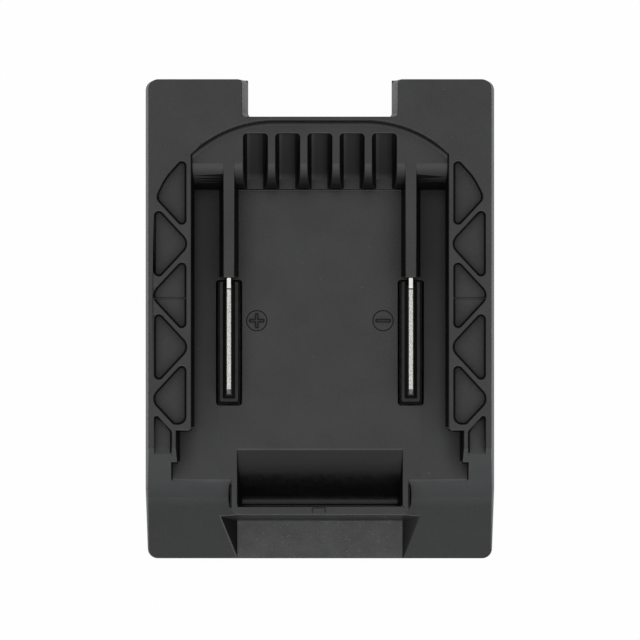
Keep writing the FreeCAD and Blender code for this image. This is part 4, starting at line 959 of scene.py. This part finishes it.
def on_arch(spot, height):
    """Along the wall round the channel's back end, at this height in mm."""
    at_back = 41.6 < spot.y < 45
    beside = abs(spot.x) > 20 and 34.9 < spot.y < 45
    return near(spot.z, height, 0.02) and abs(spot.x) < ARCH_SIDE and (at_back or beside)


def shape_catch_pocket(piece):
    """Tilts the pocket's ledge and the floor of its slot, and rounds its corners, painting shade on the side
    corners.
    """
    toe = 0.4

    def at_toe(spot):
        return near(spot.y, LEDGE_BACK - toe) and near(spot.z, LEDGE, 0.5)

    def at_side(spot):
        return near(spot.y, SLOT_FRONT) and 17 < abs(spot.x) < 18.6

    for y, z, move in (
        (LEDGE_BACK, LEDGE, (0, -toe, 0)),
        (LEDGE_FRONT, LEDGE, (0, -0.35, -0.1)),
        (LEDGE_FRONT, SLOT_FLOOR, (0, -0.3, 0.5)),
        (SLOT_FRONT, SLOT_FLOOR, (0, 0, 0.6)),
    ):
        shift_where(piece, lambda spot: abs(spot.x) < 18 and near(spot.y, y) and near(spot.z, z), move)
    round_where(piece, 0.6 * MM, at_toe, POLISHED, 4)
    for face in piece.data.polygons:
        low, high = corners_of(piece, face)
        in_slot = low[1] > SLOT_FRONT - 0.1 and high[1] < LEDGE_FRONT + 0.1
        if in_slot and high[2] < LEDGE - 0.4 and face.normal.z > 0.5:
            face.material_index = GRAINED
    round_where(piece, 0.5 * MM, at_side, PAINTED_SHADE, 4, rise=(5, math.inf))


def shape_channel(piece):
    """Splits off the floor's outer strips and paints shade on them, rounds its front end with a painted
    highlight and paints a highlight at the foot of the back wall.
    """
    def on_floor(face):
        return face.normal.z > LEVEL and near(face.verts[0].co.z / MM, FLOOR, 0.02)

    def at_front(spot):
        return near(spot.y, FLOOR_FRONT, 0.15) and spot.z > FLOOR - 0.05 and abs(spot.x) > FLOOR_CUT - 0.1

    def at_back_wall(spot):
        return near(spot.y, BACK_WALL) and near(spot.z, FLOOR, 0.02) and abs(spot.x) < 28

    split_where(piece, on_floor, -STRIP_EDGE, STRIP_EDGE, -FLOOR_CUT, FLOOR_CUT)
    split_where(piece, lambda face: face.material_index == SLOPE, -SLOPE_CUT, SLOPE_CUT)
    round_where(piece, 0.75 * MM, at_front, EDGE_HIGHLIGHT, 4, convex=True)
    round_where(piece, 0.2 * MM, at_back_wall, SLOPE)
    for face in piece.data.polygons:
        low, high = corners_of(piece, face)
        beside = min(abs(low[0]), abs(high[0])) > STRIP_EDGE - 0.05 and low[0] * high[0] > 0
        if face.normal.z > LEVEL and near(low[2], FLOOR, 0.02) and beside and high[1] > -20:
            face.material_index = STRIP


def shape_scoop(piece):
    """Brings the outer corners of the scoop's sides up the slope."""
    for side in (-1, 1):
        shift_where(
            piece, lambda spot: near(spot.x, side * 22.67, 0.1) and near(spot.y, -45.1, 0.1),
            (-side * 0.37, 1.05, 1.36),
        )


def shape_cells(piece):
    """Shortens the ledges at the cells' feet and splits off a band along their side walls, painted with
    shade.
    """
    def on_cell(middle, normal):
        return normal.z > 0.5 and 28.9 < middle.y < 41.5 and 37.3 < middle.z < 43.1

    def splits(face):
        middle = face.calc_center_median() / MM
        return on_cell(middle, face.normal) and abs(middle.x) < 17.2

    shift_where(piece, lambda spot: within(spot, spot, TOE_ZONE), (0, -0.8, 0))
    for index in range(CELLS):
        cell = (index - (CELLS - 1) / 2) * CELL_PITCH
        split_where(piece, splits, cell - CELL_BAND_LEFT, cell + CELL_BAND_RIGHT)
    for face in piece.data.polygons:
        across = across_cell(face.center.x / MM)
        if abs(across) > CELL_REACH or not on_cell(face.center / MM, face.normal):
            continue
        if not -CELL_BAND_LEFT < across < CELL_BAND_RIGHT:
            face.material_index = PAINTED_SHADE
        elif face.material_index == POLISHED:
            face.material_index = CELL


def first_pocket_side(y):
    """How far from the middle the outer side of each rail's first pocket lies, all in mm."""
    rise = y - 31.6
    side = 34.4 - 0.686 * rise - 0.0455 * rise ** 2
    return side if rise >= -2.5 else min(side, 36.35 - 0.203 * (rise + 4.2) ** 2)


def shape_first_pockets(piece):
    """Draws in the outer curve of the first pocket of each rail."""
    rim = (POCKET_FLOOR - 0.1) * MM
    spots = {(vertex.co.x, vertex.co.y) for vertex in piece.data.vertices if vertex.co.z > rim}
    edit(piece, "VERT")
    for x, y in sorted(spots):
        side = first_pocket_side(y / MM) * MM
        if 26.4 * MM < y < 32.6 * MM and side < abs(x) < 36.9 * MM:
            select_where(
                piece, "verts",
                lambda vertex: near(vertex.co.x, x, MERGE_DISTANCE) and near(vertex.co.y, y, MERGE_DISTANCE)
                and vertex.co.z > rim,
            )
            bpy.ops.transform.translate(value=(math.copysign(side, x) - x, 0, 0))
    close()


def deepen_pockets(piece, depth):
    """Sinks the floors of the closed pockets in the rails."""
    def on_floor(spot):
        return abs(spot.x) > RAIL_SIDE + 0.1 and -24 < spot.y < 36 and near(spot.z, POCKET_FLOOR, 0.02)

    shift_where(piece, on_floor, (0, 0, -depth / MM))


def level_deck(piece):
    """Brings the few points that a rounding pushes above the deck back onto it."""
    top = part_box("battery_side_shell")[1][2]
    for vertex in piece.data.vertices:
        vertex.co.z = min(vertex.co.z, top)


def shape_rail_ends(piece):
    """Rounds the front corner of each rail's lip with painted shade, leans its end and paints shade on the
    steps behind it.
    """
    def at_corner(spot):
        return 27.5 < abs(spot.x) < 29 and near(spot.y, LIP_FRONT) and spot.z > 41

    def at_underside(spot):
        return near(spot.z, LIP_UNDERSIDE, 0.02) and LIP_FRONT - 0.2 < spot.y < LIP_FRONT + 0.05

    def at_step(spot):
        in_reach = FLOOR_FRONT + 0.05 < spot.y < LIP_FRONT + 0.1
        return abs(spot.x) > 31 and in_reach and near(spot.z, FLOOR, 0.02)

    round_where(piece, 0.9 * MM, at_corner, PAINTED_SHADE, 4, convex=True, rise=(3, math.inf))
    shift_where(piece, at_underside, (0, -0.3, 0))
    round_where(piece, 0.3 * MM, at_step, PAINTED_SHADE)


def cut_rim_trenches(piece, radius):
    """The short trench beside each side of the catch pocket's rim, its steep faces painted with shade."""
    middle = Vector((20.05, -39.5, 33.4)) * MM
    along = Vector((0, -5.8, -7.0)) * MM
    for side in (-1, 1):
        deselect()
        bpy.ops.mesh.primitive_uv_sphere_add(segments=20, ring_count=16, radius=1)
        lens = bpy.context.object
        lens.scale = (radius, radius * 1.6, along.length / 2)
        lens.rotation_euler = along.to_track_quat("Z", "Y").to_euler()
        lens.location = (side * middle.x, middle.y, middle.z)
        settle(lens)
        carve(piece, lens)
    for face in piece.data.polygons:
        low, high = corners_of(piece, face)
        steep = face.normal.z < 0.55 or face.normal.y > -0.4
        if within(low, high, TRENCH_ZONE) and min(abs(low[0]), abs(high[0])) > 19.65 and steep:
            face.material_index = PAINTED_SHADE


def engrave_signs(piece, signs):
    """Cuts the ringed plus and minus signs into the channel's floor."""
    floor = channel_floor(piece)
    for side in (-1, 1):
        place = (side * signs.offset, SIGN_PLACE * MM, floor)
        carve(piece, ring_cutter(signs, place))
        carve(piece, stroke_cutter(signs, place, crossed=side < 0))


def ring_cutter(signs, place):
    deselect()
    bpy.ops.mesh.primitive_torus_add(
        major_radius=signs.ring_radius, minor_radius=signs.line / 2, major_segments=72, minor_segments=10,
        location=place,
    )
    ring = bpy.context.object
    ring.scale.z = signs.depth / (signs.line / 2)
    settle(ring)
    return ring


def stroke_cutter(signs, place, crossed):
    """A thin tube that follows the outline of a plus or a minus."""
    a = signs.reach
    b = signs.stroke / 2
    if crossed:
        corners = [
            (a, b), (b, b), (b, a), (-b, a), (-b, b), (-a, b),
            (-a, -b), (-b, -b), (-b, -a), (b, -a), (b, -b), (a, -b),
        ]
    else:
        corners = [(a, b), (-a, b), (-a, -b), (a, -b)]
    curve = bpy.data.curves.new("stroke", "CURVE")
    curve.dimensions = "3D"
    curve.bevel_depth = signs.line / 2
    curve.bevel_resolution = 2
    spline = curve.splines.new("POLY")
    spline.points.add(len(corners) - 1)
    for point, (across, along) in zip(spline.points, corners):
        point.co = (across, along, 0, 1)
    spline.use_cyclic_u = True
    pick(new_object("stroke", curve))
    bpy.ops.object.convert(target="MESH")
    stroke = bpy.context.object
    stroke.location = place
    stroke.scale.z = signs.depth / (signs.line / 2)
    settle(stroke)
    return stroke


def cut_mould_marks(piece, signs, pocket_floor):
    """The mould's seam across one pocket of each rail, and the gate mark on the catch pocket's lip."""
    radius = 0.35 * MM
    z = pocket_floor + radius - signs.seam_depth
    for side in (-1, 1):
        carve(piece, rod(radius, (side * 29.8 * MM, signs.seam_y, z), (side * 37.2 * MM, signs.seam_y, z)))
    back, front = -42.15, -43.2
    gate_lines = (
        ((-1.68, back), (-1.68, front)), ((1.16, back), (1.16, front)), ((-1.7, back), (1.18, back)),
    )
    for ends in gate_lines:
        start, end = [(x * MM, y * MM, FLOOR * MM) for x, y in ends]
        carve(piece, rod(0.15 * MM, start, end, 12))


# Contacts

def finish_blade(node, contacts, plating, sheared):
    """A blade with a fine line across it, painted with shade, and a torn edge below that line."""
    torn, scored = 1, 2
    piece = merged_copy(node)
    # The third slot paints shade into the fine line across the blade
    dress(piece, plating, sheared, bpy.data.materials["deep wall"])
    round_open_edges(piece, contacts.edge_radius, ALL_ROUND, 2)
    low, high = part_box(node)
    x = (low[0] + high[0]) / 2
    radius = 0.15 * MM
    z = high[2] + radius - contacts.score_depth
    carve(piece, rod(radius, (x - 0.8 * MM, contacts.score_y, z), (x + 0.8 * MM, contacts.score_y, z), 12))
    for face in piece.data.polygons:
        if near(face.center.y, contacts.score_y, radius) and face.normal.z < LEVEL:
            face.material_index = scored
        elif face.center.y < contacts.score_y and face.normal.z > 0.5:
            face.material_index = torn
    smooth(piece)
    hand_over(piece, node)


def finish_lead(node, contacts, insulation, tin):
    """A lead whose ends are stripped and tinned."""
    piece = merged_copy(node)
    low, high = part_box(node)
    for face in piece.data.polygons:
        at_front = face.center.y < low[1] + contacts.bare_length
        at_back = face.center.y > high[1] - contacts.bare_length
        face.material_index = 1 if at_front or at_back else 0
    smooth(piece)
    dress(piece, insulation, tin)
    hand_over(piece, node)


# Latch

def cut_grip_grooves(piece, latch):
    """Grooves across the pad that a finger presses."""
    low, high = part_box("release_latch")
    level = [
        face for face in piece.data.polygons
        if face.normal.z < -0.99 and face.center.y < (low[1] + high[1]) / 2 - 2 * MM
    ]
    pad = max(level, key=lambda face: face.area)
    pad_low, pad_high = corners_of(piece, pad)
    left, right = (pad_low[0] + 1.5) * MM, (pad_high[0] - 1.5) * MM
    pitch = (pad_high[1] - pad_low[1]) / (latch.grip_grooves + 1)
    z = pad.center.z - latch.groove_radius * 0.3
    for index in range(latch.grip_grooves):
        y = (pad_low[1] + pitch * (index + 1)) * MM
        carve(piece, rod(latch.groove_radius, (left, y, z), (right, y, z), 20))


def finish_spring(node, wire):
    """A smoothed copy of a spring that stands for it, fixed in place."""
    piece = merged_copy(node)
    smooth(piece)
    dress(piece, wire)
    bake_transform(piece)
    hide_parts(node)


# Screws

def model_screw(screws, size):
    """A pan-head screw with a cross recess, its head's top at the origin and its tip upwards."""
    head, head_height, shank, length = (value * MM for value in size)
    deselect()
    bpy.ops.mesh.primitive_cylinder_add(
        vertices=40, radius=head, depth=head_height, location=(0, 0, head_height / 2),
    )
    screw = bpy.context.object
    settle(screw)
    edit(screw)
    select_where(screw, "faces", lambda face: face.normal.z > 0.9)
    bpy.ops.mesh.inset(thickness=head - shank)
    bpy.ops.mesh.extrude_region_move(TRANSFORM_OT_translate={"value": (0, 0, length - head_height - shank)})
    bpy.ops.mesh.extrude_region_move(TRANSFORM_OT_translate={"value": (0, 0, shank)})
    bpy.ops.transform.resize(value=(1 / 3, 1 / 3, 1))
    bpy.ops.mesh.select_mode(type="EDGE")
    rim = head * 0.9
    select_where(screw, "edges", lambda edge: all(
        vertex.co.z < 0.01 * MM and vertex.co.xy.length > rim for vertex in edge.verts
    ))
    bpy.ops.mesh.bevel(offset=head_height * screws.head_rounding, segments=5, affect="EDGES", profile=0.5)
    close()
    for turn in (0, 90):
        deselect()
        bpy.ops.mesh.primitive_cube_add(size=1, location=(0, 0, 0))
        cutter = bpy.context.object
        cutter.scale = (head * screws.recess_share * 2, head * 0.24, head_height * 1.3)
        cutter.rotation_euler.z = math.radians(turn)
        settle(cutter)
        edit(cutter)
        select_where(cutter, "faces", lambda face: face.normal.z > 0.9)
        bpy.ops.transform.resize(value=(0.5, 0.5, 1))
        close()
        carve(screw, cutter)
    smooth(screw)
    return screw


def place_screws(node, master, head, head_up, material):
    """Puts copies of a screw where the node has its screws, as one piece."""
    low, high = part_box(node)
    copies = []
    for x in (low[0] + head, high[0] - head):
        for y in sorted({round(low[1] + head, 6), round(high[1] - head, 6)}):
            copy = new_object(f"{node}_finish", master.data.copy())
            if head_up:
                copy.rotation_euler.x = math.pi
            copy.location = (x, y, high[2] if head_up else low[2])
            settle(copy)
            copies.append(copy)
    pick(*copies)
    bpy.ops.object.join()
    dress(copies[0], material)
    hand_over(copies[0], node)


# Stage

def make_floor(stage):
    deselect()
    bpy.ops.mesh.primitive_plane_add(size=4, location=(0, 0, 0))
    floor = bpy.context.object
    floor.name = "floor"
    material = bpy.data.materials.new("floor")
    material.use_nodes = True
    material.node_tree.nodes.clear()
    shade = add_node(material, "BsdfDiffuse", Color=(*stage.floor_colour, 1))
    white = add_node(material, "Emission", Strength=1.0)
    mix = add_node(material, "MixShader")
    end = add_node(material, "OutputMaterial")
    link(material, white_rays(material, stage.floor_share), mix.inputs["Fac"])
    link(material, shade.outputs["BSDF"], mix.inputs[1])
    link(material, white.outputs["Emission"], mix.inputs[2])
    link(material, mix.outputs["Shader"], end.inputs["Surface"])
    floor.data.materials.append(material)


def white_rays(material, share):
    """A factor that is nearly 1 for camera, glossy and transmission rays and 0 for the rest."""
    path = add_node(material, "LightPath").outputs
    seen = calculated(material, "MAXIMUM", path["Is Camera Ray"], path["Is Glossy Ray"])
    seen = calculated(material, "MAXIMUM", seen, path["Is Transmission Ray"])
    return calculated(material, "MULTIPLY", seen, 1 - share)


def make_sky(context, stage):
    """Soft light from above that fades towards the horizon, as under a wide softbox."""
    world = bpy.data.worlds.new("sky")
    context.scene.world = world
    world.use_nodes = True
    direction = add_node(world, "TexCoord")
    split = add_node(world, "SeparateXYZ")
    link(world, direction.outputs["Generated"], split.inputs["Vector"])
    stops = ((0.0, stage.horizon), (0.28, 0.19), (0.62, 0.47), (0.9, 0.88), (1.0, 1.0))
    stops = [(place, scaled(WHITE, share)) for place, share in stops]
    tone = colours_along(world, split.outputs["Z"], *stops)
    light = world.node_tree.nodes["Background"]
    light.inputs["Strength"].default_value = stage.sky
    link(world, tone, light.inputs["Color"])


def make_camera(context, stage):
    centre = Vector(stage.centre)
    bpy.ops.object.camera_add(location=(centre.x, centre.y, stage.distance), rotation=(0, 0, 0))
    camera = bpy.context.object
    camera.data.lens = camera.data.sensor_width * (stage.distance - centre.z) / stage.width
    camera.data.clip_end = stage.distance * 2
    context.scene.camera = camera


# Panel and registration

class ADAPTER_PT_panel(bpy.types.Panel):
    """Steps that finish the battery adapter"""

    bl_idname = "ADAPTER_PT_panel"
    bl_label = "Battery Adapter"
    bl_space_type = "VIEW_3D"
    bl_region_type = "UI"
    bl_category = "Adapter"

    def draw(self, context):
        for name, (group, steps) in STEPS.items():
            box = self.layout.box()
            for field in group.__annotations__:
                box.prop(getattr(context.scene, name), field)
            for step in steps:
                box.operator(step.bl_idname)


# Each group of settings and the steps that read it, in the order in which they run
STEPS = {
    "adapter_housing": (HousingSettings, (ADAPTER_OT_battery_side, ADAPTER_OT_tool_side)),
    "adapter_signs": (SignSettings, ()),
    "adapter_contacts": (ContactSettings, (ADAPTER_OT_contacts,)),
    "adapter_latch": (LatchSettings, (ADAPTER_OT_latch,)),
    "adapter_screws": (ScrewSettings, (ADAPTER_OT_screws,)),
    "adapter_stage": (StageSettings, (ADAPTER_OT_stage,)),
}
CLASSES = [each for group, steps in STEPS.values() for each in (group, *steps)] + [ADAPTER_PT_panel]


def register():
    for each in CLASSES:
        bpy.utils.register_class(each)
    for name, (group, steps) in STEPS.items():
        setattr(bpy.types.Scene, name, bpy.props.PointerProperty(type=group))


def unregister():
    for name in STEPS:
        delattr(bpy.types.Scene, name)
    for each in reversed(CLASSES):
        bpy.utils.unregister_class(each)


def main():
    register()
    bpy.ops.adapter.battery_side()
    bpy.ops.adapter.tool_side()
    bpy.ops.adapter.contacts()
    bpy.ops.adapter.latch()
    bpy.ops.adapter.screws()
    bpy.ops.adapter.stage()


if __name__ == "__main__":
    main()
